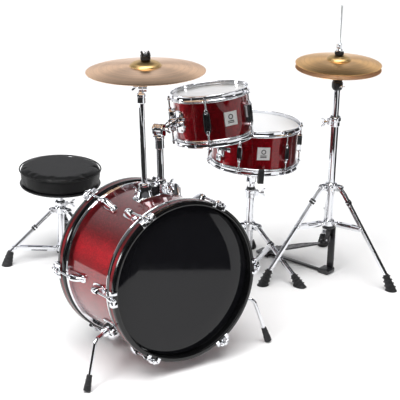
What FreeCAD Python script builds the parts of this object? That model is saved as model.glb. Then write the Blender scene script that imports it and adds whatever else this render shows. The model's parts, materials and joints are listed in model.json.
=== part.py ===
import FreeCAD, Part
import math
import os

# Junior three-piece acoustic drum kit: bass drum, hung tom, snare on its stand,
# crash cymbal on a post, hi-hat stand with pedal, and a round throne.
# Millimetres, +Z up, the bass drum's front faces -Y and the player sits at +Y.
V = FreeCAD.Vector

# ---- bass drum ----
BASS_SHELL_R = 203.2        # 16 inch shell
BASS_SHELL_T = 6.0
BASS_DEPTH = 303.6          # over both hoops
BASS_TILT = 5.567           # front raised, degrees
BASS_REAR_Z = 220.97        # axis height at the rear hoop
HOOP_R = 218.0
HOOP_W = 38.0
HEAD_INSET = 18.0
BASS_LUG_Z = 97.0           # lug centre from each end
BASS_LUGS = 6
ROD_RADIAL = 223.6
SPUR_ANGLE = 214.0          # where the spur brackets sit on the shell
SPUR_Z = 200.6
SPUR_ROD_R = 4.75
SPUR_BEND = (249.0, 39.0, 130.0)
SPUR_FOOT = (289.0, 14.0, 0.0)

# ---- posts on the bass drum ----
POST_X = 25.5
CRASH_POST_R = 7.5
CRASH_POST_TOP = 478.0      # height above the drum's axis
CRASH_HEAD = 500.0
TOM_POST_R = 9.5
TOM_POST_TOP = 358.0
TOM_BALL = 380.0
POST_FOOT = 120.0            # the posts' lower ends hang inside the shell

# ---- crash cymbal, 12 inch ----
CRASH_R = 156.0
CRASH_CENTRE = (-14.7, 193.5, 775.6)
CRASH_NORMAL = (-0.01, 0.05, 1.0)

# ---- tom, 8 inch ----
TOM_R = 101.6
TOM_TOP = (223.4, 251.8, 680.8)
TOM_NORMAL = (-0.057, 0.163, 0.985)
TOM_H = 143.1
TOM_LUGS, TOM_LUG0 = 5, -133.0
TOM_ARM_ANGLE = 176.0
TOM_ARM_R = 6.3

# ---- snare, 10 inch ----
SNARE_R = 127.0
SNARE_TOP = (533.9, 451.3, 486.0)
SNARE_NORMAL = (0.06, 0.03, 1.0)
SNARE_H = 136.3
SNARE_LUGS, SNARE_LUG0 = 6, -146.0
STRAINER_ANGLE = 184.0
BUTT_ANGLE = 4.0
TIP_ANGLES = (-116.0, 18.0, 124.0)
LEVER_SPAN = 20.0            # how far round the shell the throw-off lever lies, degrees

# ---- stands: (axis x, axis y), first foot's direction ----
SNARE_AXIS, SNARE_FOOT0 = (521.0, 447.5), -68.4
HIHAT_AXIS, HIHAT_FOOT0 = (722.0, 313.0), 54.3
THRONE_AXIS, THRONE_FOOT0 = (76.0, 835.0), 54.3
# (radius, height) of the leg pivot, the brace's pivot on its hub, the point on the
# leg that the brace reaches, the top of the rubber foot and the middle of its sole
SNARE_LEG = dict(top=(31, 152.5), low=(30, 41.5), knee=(81, 107.5), cap=(165, 31.5), foot=(191, 0))
HIHAT_LEG = dict(top=(31, 286), low=(27, 169.5), knee=(111.5, 171), cap=(202.5, 46), foot=(224, 0))
THRONE_LEG = dict(top=(29, 157), low=(23, 29), knee=(153.5, 54.3), cap=(166, 44), foot=(179, 0))
LEG_W = 14.0                # width of a leg between its two brace plates
PIVOT_PIN = 2.5
RUN = 0.06                  # radial running clearance
TUBE_R = 11.5               # outer tubes
INNER_R = 9.5               # inner tubes
SNARE_COLLAR = (243.0, 272.0)
HIHAT_COLLAR = (478.0, 508.0)
THRONE_TUBE_TOP = 186.0
SEAT_R, SEAT_TOP, SEAT_T = 127.0, 300.0, 60.0
HAT_R, HAT_TOP_Z, HAT_GAP = 127.0, 670.0, 14.0
HAT_ROD_R, HAT_ROD_TOP = 3.0, 845.0
CLUTCH_TOP = HAT_TOP_Z + 61.0
PEDAL_ANGLE = 107.5
PEDAL_HEEL = (207.0, 17.0)
PEDAL_TOE = (12.0, 93.0)

LAYOUT_SHIFT = V(0, 0, 0)   # set below: puts the layout's middle at the origin


# ---------------------------------------------------------------- helpers
def unit(v):
    v = V(*v) if isinstance(v, tuple) else V(v)
    v.normalize()
    return v


def frame(origin, z, xhint=V(1, 0, 0)):
    """Placement whose local Z is z and local X lies nearest to xhint."""
    o, z = V(*origin) if isinstance(origin, tuple) else V(origin), unit(z)
    x = unit(xhint - z * xhint.dot(z))
    y = z.cross(x)
    return FreeCAD.Placement(FreeCAD.Matrix(x.x, y.x, z.x, o.x, x.y, y.y, z.y, o.y,
                                            x.z, y.z, z.z, o.z, 0, 0, 0, 1))


def put(shape, pl):
    s = shape.copy()
    s.Placement = pl.multiply(s.Placement)
    return s


def spin(shape, angle, centre=V(0, 0, 0), axis=V(0, 0, 1)):
    s = shape.copy()
    s.rotate(centre, axis, angle)
    return s


def ring_of(shape, angles):
    return [spin(shape, a) for a in angles]


def radial(axis_xy, angle, z=0.0):
    """Local X points away from a stand's axis, local Z is up."""
    return FreeCAD.Placement(V(axis_xy[0], axis_xy[1], z), FreeCAD.Rotation(V(0, 0, 1), angle))


def cyl(r, p, q):
    p, q = V(*p) if isinstance(p, tuple) else p, V(*q) if isinstance(q, tuple) else q
    return Part.makeCylinder(r, (q - p).Length, p, q - p)


def pipe(ro, ri, z0, z1, x=0.0, y=0.0):
    return cyl(ro, (x, y, z0), (x, y, z1)).cut(cyl(ri, (x, y, z0 - 1), (x, y, z1 + 1)))


def box(x0, x1, y0, y1, z0, z1):
    return Part.makeBox(x1 - x0, y1 - y0, z1 - z0, V(x0, y0, z0))


def lathe(points):
    """Closed (r, z) outline turned about Z."""
    pts = [V(r, 0, z) for r, z in points]
    face = Part.Face(Part.makePolygon(pts + [pts[0]]))
    return face.revolve(V(0, 0, 0), V(0, 0, 1), 360)


def plate(points, y0, y1):
    """Outline in local XZ, thick along Y."""
    pts = [V(x, y0, z) for x, z in points]
    return Part.Face(Part.makePolygon(pts + [pts[0]])).extrude(V(0, y1 - y0, 0))


def fuse(*shapes):
    return shapes[0].multiFuse(list(shapes[1:])).removeSplitter() if len(shapes) > 1 else shapes[0]


def group(*shapes):
    solids = []
    for s in shapes:
        solids += s if isinstance(s, list) else [s]
    return Part.makeCompound(solids)


def bent_rod(points, r, bend):
    """Round rod along a bent line, with every corner rounded to the bend radius."""
    pts = [V(*p) for p in points]
    edges, start = [], pts[0]
    for a, b, c in zip(pts, pts[1:], pts[2:]):
        u, w = unit(a - b), unit(c - b)
        half = u.getAngle(w) / 2
        cut = bend / math.tan(half)
        p, q = b + u * cut, b + w * cut
        mid = b + unit(u + w) * (bend / math.sin(half) - bend)
        edges += [Part.makeLine(start, p), Part.Arc(p, mid, q).toShape()]
        start = q
    edges.append(Part.makeLine(start, pts[-1]))
    circle = Part.Wire([Part.makeCircle(r, pts[0], pts[1] - pts[0])])
    return Part.Wire(edges).makePipeShell([circle], True, True)


def between(p, q, w, t, y0=0.0):
    """Flat bar in local XZ from p to q, w wide along Y and t thick."""
    (x0, z0), (x1, z1) = p, q
    n = math.hypot(x1 - x0, z1 - z0)
    nx, nz = -(z1 - z0) / n * t / 2, (x1 - x0) / n * t / 2
    return plate([(x0 + nx, z0 + nz), (x1 + nx, z1 + nz), (x1 - nx, z1 - nz), (x0 - nx, z0 - nz)],
                 y0 - w / 2, y0 + w / 2)


def pin_y(p, r, half):
    """Round pin along Y through (x, z)."""
    return cyl(r, (p[0], -half, p[1]), (p[0], half, p[1]))


def along(p, q, d):
    n = math.hypot(q[0] - p[0], q[1] - p[1])
    return (p[0] + (q[0] - p[0]) * d / n, p[1] + (q[1] - p[1]) * d / n)


def wing_bolt(stem, size=1.0):
    """Stands on local Z: threaded stem, hub and two lobes."""
    s = size
    lobes = [fuse(cyl(5.5 * s, (k * 9 * s, -1.6 * s, stem + 9 * s), (k * 9 * s, 1.6 * s, stem + 9 * s)),
                  plate([(0, stem + 1), (k * 9 * s, stem + 3.5 * s), (k * 9 * s, stem + 14 * s),
                         (0, stem + 8 * s)], -1.6 * s, 1.6 * s)) for k in (-1, 1)]
    return fuse(cyl(2.6 * s, (0, 0, 0), (0, 0, stem + 2)),
                Part.makeCone(5.5 * s, 4 * s, 9 * s, V(0, 0, stem)), *lobes)


# ---------------------------------------------------------------- bass drum
BT = math.radians(BASS_TILT)
BASS = frame((0, BASS_DEPTH * math.cos(BT), BASS_REAR_Z), V(0, -math.cos(BT), math.sin(BT)))
BASS_UP = V(0, math.sin(BT), math.cos(BT))
FLIP = FreeCAD.Placement(V(0, 0, BASS_DEPTH), FreeCAD.Rotation(V(0, 1, 0), 180))


def both_ends(shape):
    """A bass-drum piece at the front end, and its twin at the rear end."""
    return [shape, put(shape, FLIP)]


def bass_shell():
    z0, mid = HEAD_INSET + 1.0, BASS_DEPTH / 2
    shell = pipe(BASS_SHELL_R, BASS_SHELL_R - BASS_SHELL_T, z0, BASS_DEPTH - z0)
    for x, r in ((-POST_X, CRASH_POST_R), (POST_X, TOM_POST_R)):
        shell = shell.cut(cyl(r + 1.5, (x, 150, mid), (x, 220, mid)))
    return shell


def bass_head():
    """Film, collar and flesh ring of one head, at the front end."""
    z, r = BASS_DEPTH - HEAD_INSET, BASS_SHELL_R
    f = BASS_DEPTH - HOOP_W
    return lathe([(0, z), (r + 1.2, z), (r + 1.2, f), (r + 10.8, f), (r + 10.8, f - 11), (r + 0.3, f - 11),
                  (r + 0.3, z - 0.9), (0, z - 0.9)])


def bass_hoop():
    ring = pipe(HOOP_R, BASS_SHELL_R + 2.0, BASS_DEPTH - HOOP_W, BASS_DEPTH)
    edges = [e for e in ring.Edges if isinstance(e.Curve, Part.Circle) and e.Curve.Radius > HOOP_R - 1]
    return ring.makeFillet(2.5, edges)


def hoop_pads():
    """Two rubber pads under the rear hoop that the drum rests on."""
    pads = []
    for x in (-34.0, 34.0):
        pad = box(x - 15, x + 15, BASS_DEPTH - 40, BASS_DEPTH - 2, 0, 40)
        pads.append(pad)
    axis = frame((0, BASS_DEPTH * math.cos(BT), 0), V(0, 0, 1))
    hoop = put(Part.makeCylinder(HOOP_R + 0.05, 60, V(0, 0, -10)), BASS)
    return [p.cut(hoop).common(box(-60, 60, 200, 400, 0, 12)) for p in pads]


def bass_lug():
    """Oval lug on the shell with a domed barrel that takes the tension rod."""
    z, r = BASS_DEPTH - BASS_LUG_Z, BASS_SHELL_R
    foot = box(r - 4, r + 18, -8, 8, z - 14, z + 14)
    barrel = cyl(8.5, (r + 18, 0, z - 17), (r + 18, 0, z + 17))
    tip = Part.makeCone(8.5, 5.0, 5, V(r + 18, 0, z + 17))
    tail = Part.makeSphere(8.5, V(r + 18, 0, z - 17))
    lug = fuse(foot, barrel, tip, tail).cut(Part.makeCylinder(r, 400, V(0, 0, 0)))
    return lug.cut(cyl(3.2, (ROD_RADIAL, 0, z - 6), (ROD_RADIAL, 0, z + 30)))


def bass_claw():
    """Claw with two prongs over the hoop's edge, and the T-handled rod that draws it in."""
    z = BASS_DEPTH
    outline = [(HOOP_R - 9, z + 0.3), (HOOP_R + 0.3, z + 0.3), (HOOP_R + 0.3, z - 24), (HOOP_R + 4, z - 24),
               (HOOP_R + 8, z - 8), (HOOP_R + 8, z + 1), (HOOP_R + 5, z + 4.3), (HOOP_R - 9, z + 4.3)]
    prongs = [plate(outline, k * 16 - 5, k * 16 + 5) for k in (-1, 1)]
    web = plate([(HOOP_R + 0.3, z - 24), (HOOP_R + 4, z - 24), (HOOP_R + 11, z - 10), (HOOP_R + 11, z - 4),
                 (HOOP_R + 0.3, z - 4)], -17, 17)
    rod = cyl(3.0, (ROD_RADIAL, 0, z - BASS_LUG_Z - 4), (ROD_RADIAL, 0, z + 6))
    grip = fuse(cyl(5.8, (ROD_RADIAL, 0, z + 4), (ROD_RADIAL, 0, z + 13)),
                cyl(3.4, (ROD_RADIAL, -15, z + 9), (ROD_RADIAL, 15, z + 9)),
                *[box(ROD_RADIAL - 2.2, ROD_RADIAL + 2.2, min(k * 13, k * 23), max(k * 13, k * 23),
                      z + 3.8, z + 13.5) for k in (-1, 1)])
    return fuse(*prongs, web, rod, grip)


def spur_points(side):
    """Inner end, bend and foot of one spur rod."""
    a = math.radians(SPUR_ANGLE)
    near = BASS.multVec(V(215 * math.cos(a), 215 * math.sin(a), SPUR_Z))
    near = V(-side * near.x, near.y, near.z)
    bend, foot = V(side * SPUR_BEND[0], *SPUR_BEND[1:]), V(side * SPUR_FOOT[0], *SPUR_FOOT[1:])
    return near, bend, foot


def spur_bracket(side):
    near, bend, foot = spur_points(side)
    d = unit(bend - near)
    a = SPUR_ANGLE if side < 0 else 540 - SPUR_ANGLE
    base = put(spin(box(BASS_SHELL_R - 8, BASS_SHELL_R + 4, -20, 20, SPUR_Z - 26, SPUR_Z + 26), a), BASS)
    block = put(spin(box(BASS_SHELL_R - 2, BASS_SHELL_R + 22, -12, 12, SPUR_Z - 14, SPUR_Z + 16), a), BASS)
    barrel = cyl(11, near - d * 2, near + d * 30)
    shell = put(Part.makeCylinder(BASS_SHELL_R + 0.0, BASS_DEPTH, V(0, 0, 0)), BASS)
    screw = put(wing_bolt(12, 0.8), frame(near + d * 20, V(0, 0, 1).cross(d) * side * -1, V(0, 0, 1)))
    body = fuse(base, block, barrel, screw).cut(shell)
    return body.cut(cyl(SPUR_ROD_R + RUN, near - d * 8, near + d * 40))


def spur(side):
    near, bend, foot = spur_points(side)
    d, leg = unit(bend - near), unit(foot - bend)
    rod = bent_rod([tuple(near - d * 4), tuple(bend), tuple(foot - leg * 16)], SPUR_ROD_R, 16)
    tip = Part.makeCone(7.5, 10.0, 46, foot - leg * 44, leg)
    tip = tip.cut(rod).common(box(-400, 400, -200, 300, 0, 300))
    return group(rod, tip)


def over_drum(x, u, s=BASS_DEPTH / 2):
    """Point x to the side and u above the drum's axis, midway along the shell."""
    return BASS.multVec(V(x, u, s))


def post_frame(x):
    return frame(over_drum(x, 0.0), BASS_UP)


def bass_mount():
    """Twin receiver on top of the shell: domed one for the crash post, square one for the tom."""
    saddle = box(-54, 54, -24, 24, 190, 209)
    left = fuse(Part.makeCone(19, 14.5, 22, V(-POST_X, 0, 206)), cyl(14.5, (-POST_X, 0, 226), (-POST_X, 0, 240)))
    mid = box(-16, 12, -12, 12, 204, 228)
    right = fuse(box(POST_X - 18, POST_X + 18, -17, 17, 204, 236), cyl(13.5, (POST_X, 0, 234), (POST_X, 0, 243)))
    knob = put(wing_bolt(7, 1.15), frame((POST_X + 17, 0, 222), V(1, 0, 0), V(0, 0, 1)))
    lug = put(wing_bolt(6, 0.8), frame((-POST_X - 15, 0, 224), V(-1, 0, 0), V(0, 0, 1)))
    shell = Part.makeCylinder(BASS_SHELL_R, 200, V(0, 100, 0), V(0, -1, 0))
    body = fuse(saddle, left, mid, right, knob, lug).cut(shell)
    for x, r in ((-POST_X, CRASH_POST_R), (POST_X, TOM_POST_R)):
        body = body.cut(cyl(r + RUN, (x, 0, 180), (x, 0, 260)))
    return put(body, post_frame(0.0))


def bass_nodes():
    turns = [360.0 / BASS_LUGS * k for k in range(BASS_LUGS)]
    lugs = [s for lug in ring_of(bass_lug(), turns) for s in both_ends(lug)]
    claws = [s for claw in ring_of(bass_claw(), turns) for s in both_ends(claw)]
    return {
        "bass_shell": put(bass_shell(), BASS),
        "bass_heads": put(group(both_ends(bass_head())), BASS),
        "bass_hoops": group([put(h, BASS) for h in both_ends(bass_hoop())], hoop_pads()),
        "bass_lugs": put(group(lugs), BASS),
        "bass_claws": put(group(claws), BASS),
        "spur_brackets": group(spur_bracket(-1), spur_bracket(1)),
        "spur_left": spur(-1),
        "spur_right": spur(1),
        "bass_mount": bass_mount(),
    }


# ---------------------------------------------------------------- crash cymbal
SIDE = unit(V(0.83, -0.558, 0))      # the tilter's hinge points this way


def cymbal(radius, bell_r, bell_h, bow_h, hole, t=1.3):
    """Turned cymbal, rim at z 0: a shallow bow rising to a rounded bell."""
    top = [(radius, 0.0)]
    for k in range(1, 9):
        f = k / 8.0
        top.append((radius + (bell_r - radius) * f, bow_h * (1 - (1 - f) ** 1.7)))
    for k in range(1, 8):
        a = math.radians(90.0 * k / 7)
        r = bell_r * math.cos(a)
        if r > hole:
            top.append((r, bow_h + bell_h * math.sin(a)))
    top.append((hole, bow_h + bell_h))
    under = [(max(r - 0.2, hole), z - t) for r, z in reversed(top)]
    under[-1] = (radius, -t * 0.7)
    return lathe(top + under)


def crash_post():
    """Tube with the ratchet half that stays on it."""
    tube = pipe(CRASH_POST_R, CRASH_POST_R - 1.4, POST_FOOT, CRASH_POST_TOP)
    sleeve = pipe(11, CRASH_POST_R - 1.5, 458, CRASH_POST_TOP + 4)
    neck = fuse(cyl(8, (0, 0, CRASH_POST_TOP + 2), (0, 0, CRASH_HEAD - 15)),
                cyl(5.2, (0, 0, CRASH_HEAD - 16), (0, 0, CRASH_HEAD - 8)))
    body = put(fuse(tube, sleeve, neck), post_frame(-POST_X))
    head = over_drum(-POST_X, CRASH_HEAD)
    bolt = put(wing_bolt(6, 0.85), frame(head - SIDE * 5.5, SIDE * -1.0, V(0, 0, 1)))
    return fuse(body, cyl(13.5, head - SIDE * 5.5, head + SIDE * 5.5), bolt)


def crash_tilter():
    """Moving ratchet half, cymbal stem, seat cup and felts, wing nut."""
    head = over_drum(-POST_X, CRASH_HEAD)
    face = head + SIDE * 6.0
    disc = cyl(13.5, face, face + SIDE * 11)
    stem = frame(CRASH_CENTRE, V(*CRASH_NORMAL))
    rod = put(cyl(3.0, (0, 0, -34), (0, 0, 58)), stem)
    cup = put(lathe([(2.9, -4), (7, -4), (7, 12), (14, 13), (14, 16), (4.0, 16), (4.0, 36), (2.9, 36)]), stem)
    low_felt = put(pipe(13, 4.0, 16.0, 26.3), stem)
    top_felt = put(pipe(13, 4.0, 29.4, 37), stem)
    nut = put(wing_bolt(0, 1.0), frame(stem.multVec(V(0, 0, 38.5)), V(*CRASH_NORMAL), SIDE))
    link = Part.makeSphere(8, stem.multVec(V(0, 0, -32)))
    return group(fuse(disc, link, rod, cup, nut), low_felt, top_felt)


def crash_cymbal():
    return put(cymbal(CRASH_R, 42, 15, 14, 5.0), frame(CRASH_CENTRE, V(*CRASH_NORMAL)))


# ---------------------------------------------------------------- tom and snare
def hoop(r, h, lug_angles):
    """Triple-flanged counterhoop, top at z 0, with an ear at each tension rod."""
    ring = lathe([(r + 3.2, 0), (r + 6.4, 0), (r + 6.4, -1.8), (r + 4.9, -1.8), (r + 4.9, -13.4),
                  (r + 9, -13.4), (r + 9, -15.2), (r + 1.8, -15.2), (r + 1.8, -13.2), (r + 3.2, -12.4)])
    ears = ring_of(box(r + 8, r + 17, -9, 9, -15.8, -13.0), lug_angles)
    holes = ring_of(cyl(2.9, (r + 12, 0, -20), (r + 12, 0, 0)), lug_angles)
    return fuse(ring, *ears).cut(Part.makeCompound(holes))


def head(r):
    """Film, collar and flesh ring."""
    return lathe([(0, -8.6), (r + 1.0, -8.6), (r + 1.6, -10), (r + 1.6, -15.3), (r + 6, -15.3), (r + 6, -21),
                  (r + 0.2, -21), (r + 0.2, -9.6), (0, -9.6)])


def drum_lug(r, h, half):
    """Bridge lug with both of its tension rods, local X is outward."""
    m = -h / 2
    arch = plate([(r - 6, m - half), (r + 10, m - half), (r + 15, m - half + 8), (r + 15, m + half - 8),
                  (r + 10, m + half), (r - 6, m + half)], -6.5, 6.5)
    arch = arch.cut(plate([(r - 7, m - half + 10), (r + 10, m - half + 14), (r + 10, m + half - 14),
                           (r - 7, m + half - 10)], -8, 8))
    rods = [cyl(2.6, (r + 12, 0, m + k * (half - 4)), (r + 12, 0, -12 if k > 0 else -h + 12)) for k in (-1, 1)]
    ends = [cyl(4.6, (r + 12, 0, m + k * (half - 6)), (r + 12, 0, m + k * (half + 3))) for k in (-1, 1)]
    keys = [fuse(cyl(4.8, (r + 12, 0, z), (r + 12, 0, z + k * 1.6)),
                 box(r + 9.2, r + 14.8, -2.8, 2.8, min(z, z + k * 8), max(z, z + k * 8)))
            for k, z in ((1, -12.9), (-1, -h + 12.9))]
    return fuse(arch, *rods, *ends, *keys).cut(Part.makeCylinder(r, h + 40, V(0, 0, -h - 20)))


def drum_nodes(name, pl, r, h, lug0, half, lugs):
    """Shell, heads, hoops and lugs of a drum whose top rim lies in its frame's XY plane."""
    angles = [lug0 + 360.0 / lugs * k for k in range(lugs)]
    flip = FreeCAD.Placement(V(0, 0, -h), FreeCAD.Rotation(V(1, 0, 0), 180))
    low_angles = [-a for a in angles]
    return {
        name + "_shell": put(pipe(r, r - 5.5, -h + 9.8, -9.8), pl),
        name + "_heads": put(group(head(r), put(head(r), flip)), pl),
        name + "_hoops": put(group(hoop(r, h, angles), put(hoop(r, h, low_angles), flip)), pl),
        name + "_lugs": put(group(ring_of(drum_lug(r, h, half), angles)), pl),
    }


TOM = frame(TOM_TOP, V(*TOM_NORMAL))
SNARE = frame(SNARE_TOP, V(*SNARE_NORMAL))
TOM_BALL_AT = over_drum(POST_X, TOM_BALL)


def tom_arm_end():
    """Middle of the bracket's boss on the tom shell."""
    a = math.radians(TOM_ARM_ANGLE)
    return TOM.multVec(V((TOM_R + 19) * math.cos(a), (TOM_R + 19) * math.sin(a), -TOM_H / 2 - 2))


ARM = unit(tom_arm_end() - TOM_BALL_AT)
ARM_SIDE = unit(BASS_UP.cross(ARM))         # across both the arm and the post


def tom_post():
    """Tube with its cast head: two cheeks that hold the ratchet ball."""
    tube = pipe(TOM_POST_R, TOM_POST_R - 1.6, POST_FOOT, TOM_POST_TOP - 2)
    sleeve = pipe(12.5, TOM_POST_R - 1.7, TOM_POST_TOP - 31, TOM_POST_TOP)
    cap = cyl(12.5, (0, 0, TOM_POST_TOP - 1), (0, 0, TOM_POST_TOP + 4))
    body = put(fuse(tube, sleeve, cap), post_frame(POST_X))
    c = TOM_BALL_AT
    cheek = [cyl(14, c + ARM_SIDE * k * 9.5, c + ARM_SIDE * k * 14.5) for k in (-1, 1)]
    pl = frame(c, BASS_UP, ARM_SIDE)
    yoke = [put(box(min(k * 9.5, k * 14.5), max(k * 9.5, k * 14.5), -12, 12, -19.5, 0), pl) for k in (-1, 1)]
    floor = put(box(-14.5, 14.5, -12, 12, -20.5, -15.5), pl)
    bolt = put(wing_bolt(5, 0.9), frame(c + ARM_SIDE * -14, ARM_SIDE * -1.0, V(0, 0, 1)))
    axle = cyl(4.0, c + ARM_SIDE * -12, c + ARM_SIDE * 12)
    return fuse(body, floor, axle, bolt, *cheek, *yoke)


def tom_arm():
    """Ratchet barrel and the rod that carries the tom."""
    c, end = TOM_BALL_AT, tom_arm_end()
    barrel = cyl(13.5, c - ARM_SIDE * 9.1, c + ARM_SIDE * 9.1)
    rod = cyl(TOM_ARM_R, c + ARM * 4, end + ARM * 12)
    neck = Part.makeCone(9, 7.4, 12, c + ARM * 11, ARM)
    return fuse(barrel, rod, neck).cut(cyl(4.0 + RUN, c - ARM_SIDE * 20, c + ARM_SIDE * 20))


def tom_bracket():
    """Plate on the shell and the split boss that clamps the arm."""
    end = tom_arm_end()
    a = math.radians(TOM_ARM_ANGLE)
    out = TOM.Rotation.multVec(V(math.cos(a), math.sin(a), 0))
    up = TOM.Rotation.multVec(V(0, 0, 1))
    pl = frame(end, up, out)
    base = put(box(-22, -15.5, -24, 24, -30, 30), pl)
    web = put(box(-19, -4, -13, 13, -13, 13), pl)
    boss = cyl(13.5, end - ARM * 15, end + ARM * 10)
    across = unit(up.cross(ARM))
    bolt = put(wing_bolt(10, 1.0), frame(end + across * -11, across * -1.0, V(0, 0, 1)))
    shell = put(Part.makeCylinder(TOM_R, TOM_H, V(0, 0, -TOM_H)), TOM)
    body = fuse(base, web, boss, bolt).cut(shell)
    return body.cut(cyl(TOM_ARM_R + RUN, end - ARM * 30, end + ARM * 12.4))


def snare_wires():
    """Strainer body, butt plate and the wires stretched under the lower head."""
    parts = []
    for a, wide in ((STRAINER_ANGLE, 15), (BUTT_ANGLE, 11)):
        plate_ = fuse(box(SNARE_R - 5, SNARE_R + 4, -wide, wide, -96, -48),
                      box(SNARE_R + 2, SNARE_R + (11 if a == STRAINER_ANGLE else 13), -wide + 5, wide - 5, -92, -56),
                      box(SNARE_R + 7, SNARE_R + 11, -wide + 5, wide - 5, -108, -90))
        parts.append(spin(plate_.cut(Part.makeCylinder(SNARE_R, 200, V(0, 0, -180))), a))
    z = -SNARE_H + 6.6
    for k in range(8):
        y = -17.5 + k * 5
        parts.append(spin(cyl(0.8, (-96, y, z), (96, y, z)), BUTT_ANGLE))
    parts += [spin(box(x - 4, x + 4, -21, 21, z - 1.0, z + 1.4), BUTT_ANGLE) for x in (-98, 98)]
    fused = [parts[0], parts[1], fuse(*parts[2:])]
    return put(group(fused), SNARE)


def strainer_lever():
    """Throw-off lever lying along the shell, hinged at its left end."""
    arm = pipe(SNARE_R + 19, SNARE_R + 15, -68, -60).common(box(0, 400, 0, 400, -80, -40))
    arm = arm.cut(spin(box(-400, 400, 0, 400, -90, -40), LEVER_SPAN))
    grip = spin(box(SNARE_R + 14, SNARE_R + 20.5, -8, 2, -71, -57), LEVER_SPAN)
    arm = fuse(arm, grip, cyl(5.0, (SNARE_R + 17, 2.0, -70), (SNARE_R + 17, 2.0, -58)))
    return put(spin(arm, STRAINER_ANGLE), SNARE)


# ---------------------------------------------------------------- tripods
def pivot_end(p, r=7.0, w=LEG_W):
    return pin_y(p, r, w / 2)


def leg(spec, bent):
    """One leg in local XZ: eye at the hub, flat bar, straight or bent near the top, ribbed rubber foot."""
    top, cap, foot = spec["top"], spec["cap"], spec["foot"]
    bend = (top[0] + 16, top[1] - 17) if bent else along(top, cap, 20)
    points = [top, bend, cap, along(cap, foot, 14)]
    bar = fuse(*[between(p, q, LEG_W, 8) for p, q in zip(points, points[1:])],
               *[pin_y(p, 4, LEG_W / 2) for p in (bend, cap)])
    bar = fuse(bar, pivot_end(top)).cut(pin_y(top, PIVOT_PIN + RUN, 20))
    d = unit(V(foot[0] - cap[0], 0, foot[1] - cap[1]))
    length = math.hypot(foot[0] - cap[0], foot[1] - cap[1]) + 12
    outline, ribs = [(0, 0), (8.6, 0)], 4
    for k in range(ribs):
        z = 6 + k * (length - 16) / ribs
        r = 9.6 + k * 1.5
        outline += [(r, z), (r + 2.6, z + 2), (r + 2.6, z + 5), (r + 0.4, z + 6.5)]
    outline += [(16.5, length - 6), (16.5, length), (0, length)]
    rubber = put(lathe(outline), frame(V(cap[0], 0, cap[1]), d, V(0, 1, 0)))
    rubber = rubber.common(box(-50, 400, -60, 60, 0, 200)).cut(bar)
    return [bar, rubber]


def brace(spec, web_side, thick=2.0):
    """Two side plates that straddle the leg, joined by a web on the edge that folds inwards."""
    low, knee = spec["low"], spec["knee"]
    gap = LEG_W / 2 + 0.4
    n = math.hypot(knee[0] - low[0], knee[1] - low[1])
    sides = []
    for k in (-1, 1):
        y = k * (gap + thick / 2)
        s = fuse(between(low, knee, thick, 11, y),
                 cyl(6, (low[0], y - thick / 2, low[1]), (low[0], y + thick / 2, low[1])),
                 cyl(6, (knee[0], y - thick / 2, knee[1]), (knee[0], y + thick / 2, knee[1])),
                 cyl(3.6, (knee[0], y, knee[1]), (knee[0], y + k * (thick / 2 + 1.6), knee[1])))
        sides.append(s.cut(pin_y(low, PIVOT_PIN + RUN, 30)))
    dx, dz = (knee[0] - low[0]) / n, (knee[1] - low[1]) / n
    a, b = along(low, knee, n * 0.2), along(low, knee, n * 0.6)
    up = [(p[0] - web_side * dz * 6.0, p[1] + web_side * dx * 6.0) for p in (a, b)]
    web = between(up[0], up[1], 2 * gap + 2 * thick, 1.8)
    tabs = [between(along(low, knee, n * 0.2), along(low, knee, n * 0.6), thick, 13.5, k * (gap + thick / 2))
            for k in (-1, 1)]
    return fuse(sides[0], sides[1], web, *tabs)


def eye_pairs(pivot, inner_r, angles, axis_xy, z_half=8.0):
    """Ears either side of each leg, with the pin through them, as one ring of pieces."""
    out = []
    for a in angles:
        pieces = []
        for k in (-1, 1):
            y0, y1 = sorted((k * (LEG_W / 2 + 0.4), k * (LEG_W / 2 + 3.4)))
            pieces.append(fuse(box(inner_r - 1, pivot[0], y0, y1, pivot[1] - z_half, pivot[1] + z_half),
                               cyl(z_half, (pivot[0], y0, pivot[1]), (pivot[0], y1, pivot[1]))))
        pieces.append(pin_y(pivot, PIVOT_PIN, LEG_W / 2 + 5.2))
        out += [put(p, radial(axis_xy, a)) for p in pieces]
    return out


def tongue_ring(pivot, inner_r, angles, axis_xy, r=5.8):
    """Single ears that the brace plates close on, each with its own pin."""
    out = []
    for a in angles:
        ear = fuse(box(inner_r - 1, pivot[0], -LEG_W / 2, LEG_W / 2, pivot[1] - r, pivot[1] + r),
                   pin_y(pivot, r, LEG_W / 2), pin_y(pivot, PIVOT_PIN, LEG_W / 2 + 4))
        out.append(put(ear, radial(axis_xy, a)))
    return out


def at_axis(shape, axis_xy):
    return put(shape, FreeCAD.Placement(V(axis_xy[0], axis_xy[1], 0), FreeCAD.Rotation()))


def leg_hub(spec, angles, axis_xy, wing_angle=None):
    """Sliding hub that the three legs hang from."""
    z = spec["top"][1]
    ring = at_axis(pipe(TUBE_R + 7, TUBE_R + RUN, z - 13, z + 13), axis_xy)
    parts = [ring] + eye_pairs(spec["top"], TUBE_R + 5, angles, axis_xy)
    if wing_angle is not None:
        bolt = put(wing_bolt(9), frame(V(TUBE_R + 4, 0, z + 6), V(1, 0, 0), V(0, 0, 1)))
        parts.append(put(bolt, radial(axis_xy, wing_angle)))
    return fuse(*parts)


def tripod_parts(name, spec, foot0, axis_xy, bent, web_side=1):
    nodes = {}
    for k in range(3):
        pl = radial(axis_xy, foot0 + 120.0 * k)
        nodes["%s_leg_%d" % (name, k + 1)] = put(group(leg(spec, bent)), pl)
        nodes["%s_brace_%d" % (name, k + 1)] = put(brace(spec, web_side), pl)
    return nodes


def foot_angles(foot0):
    return [foot0 + 120.0 * k for k in range(3)]


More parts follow.
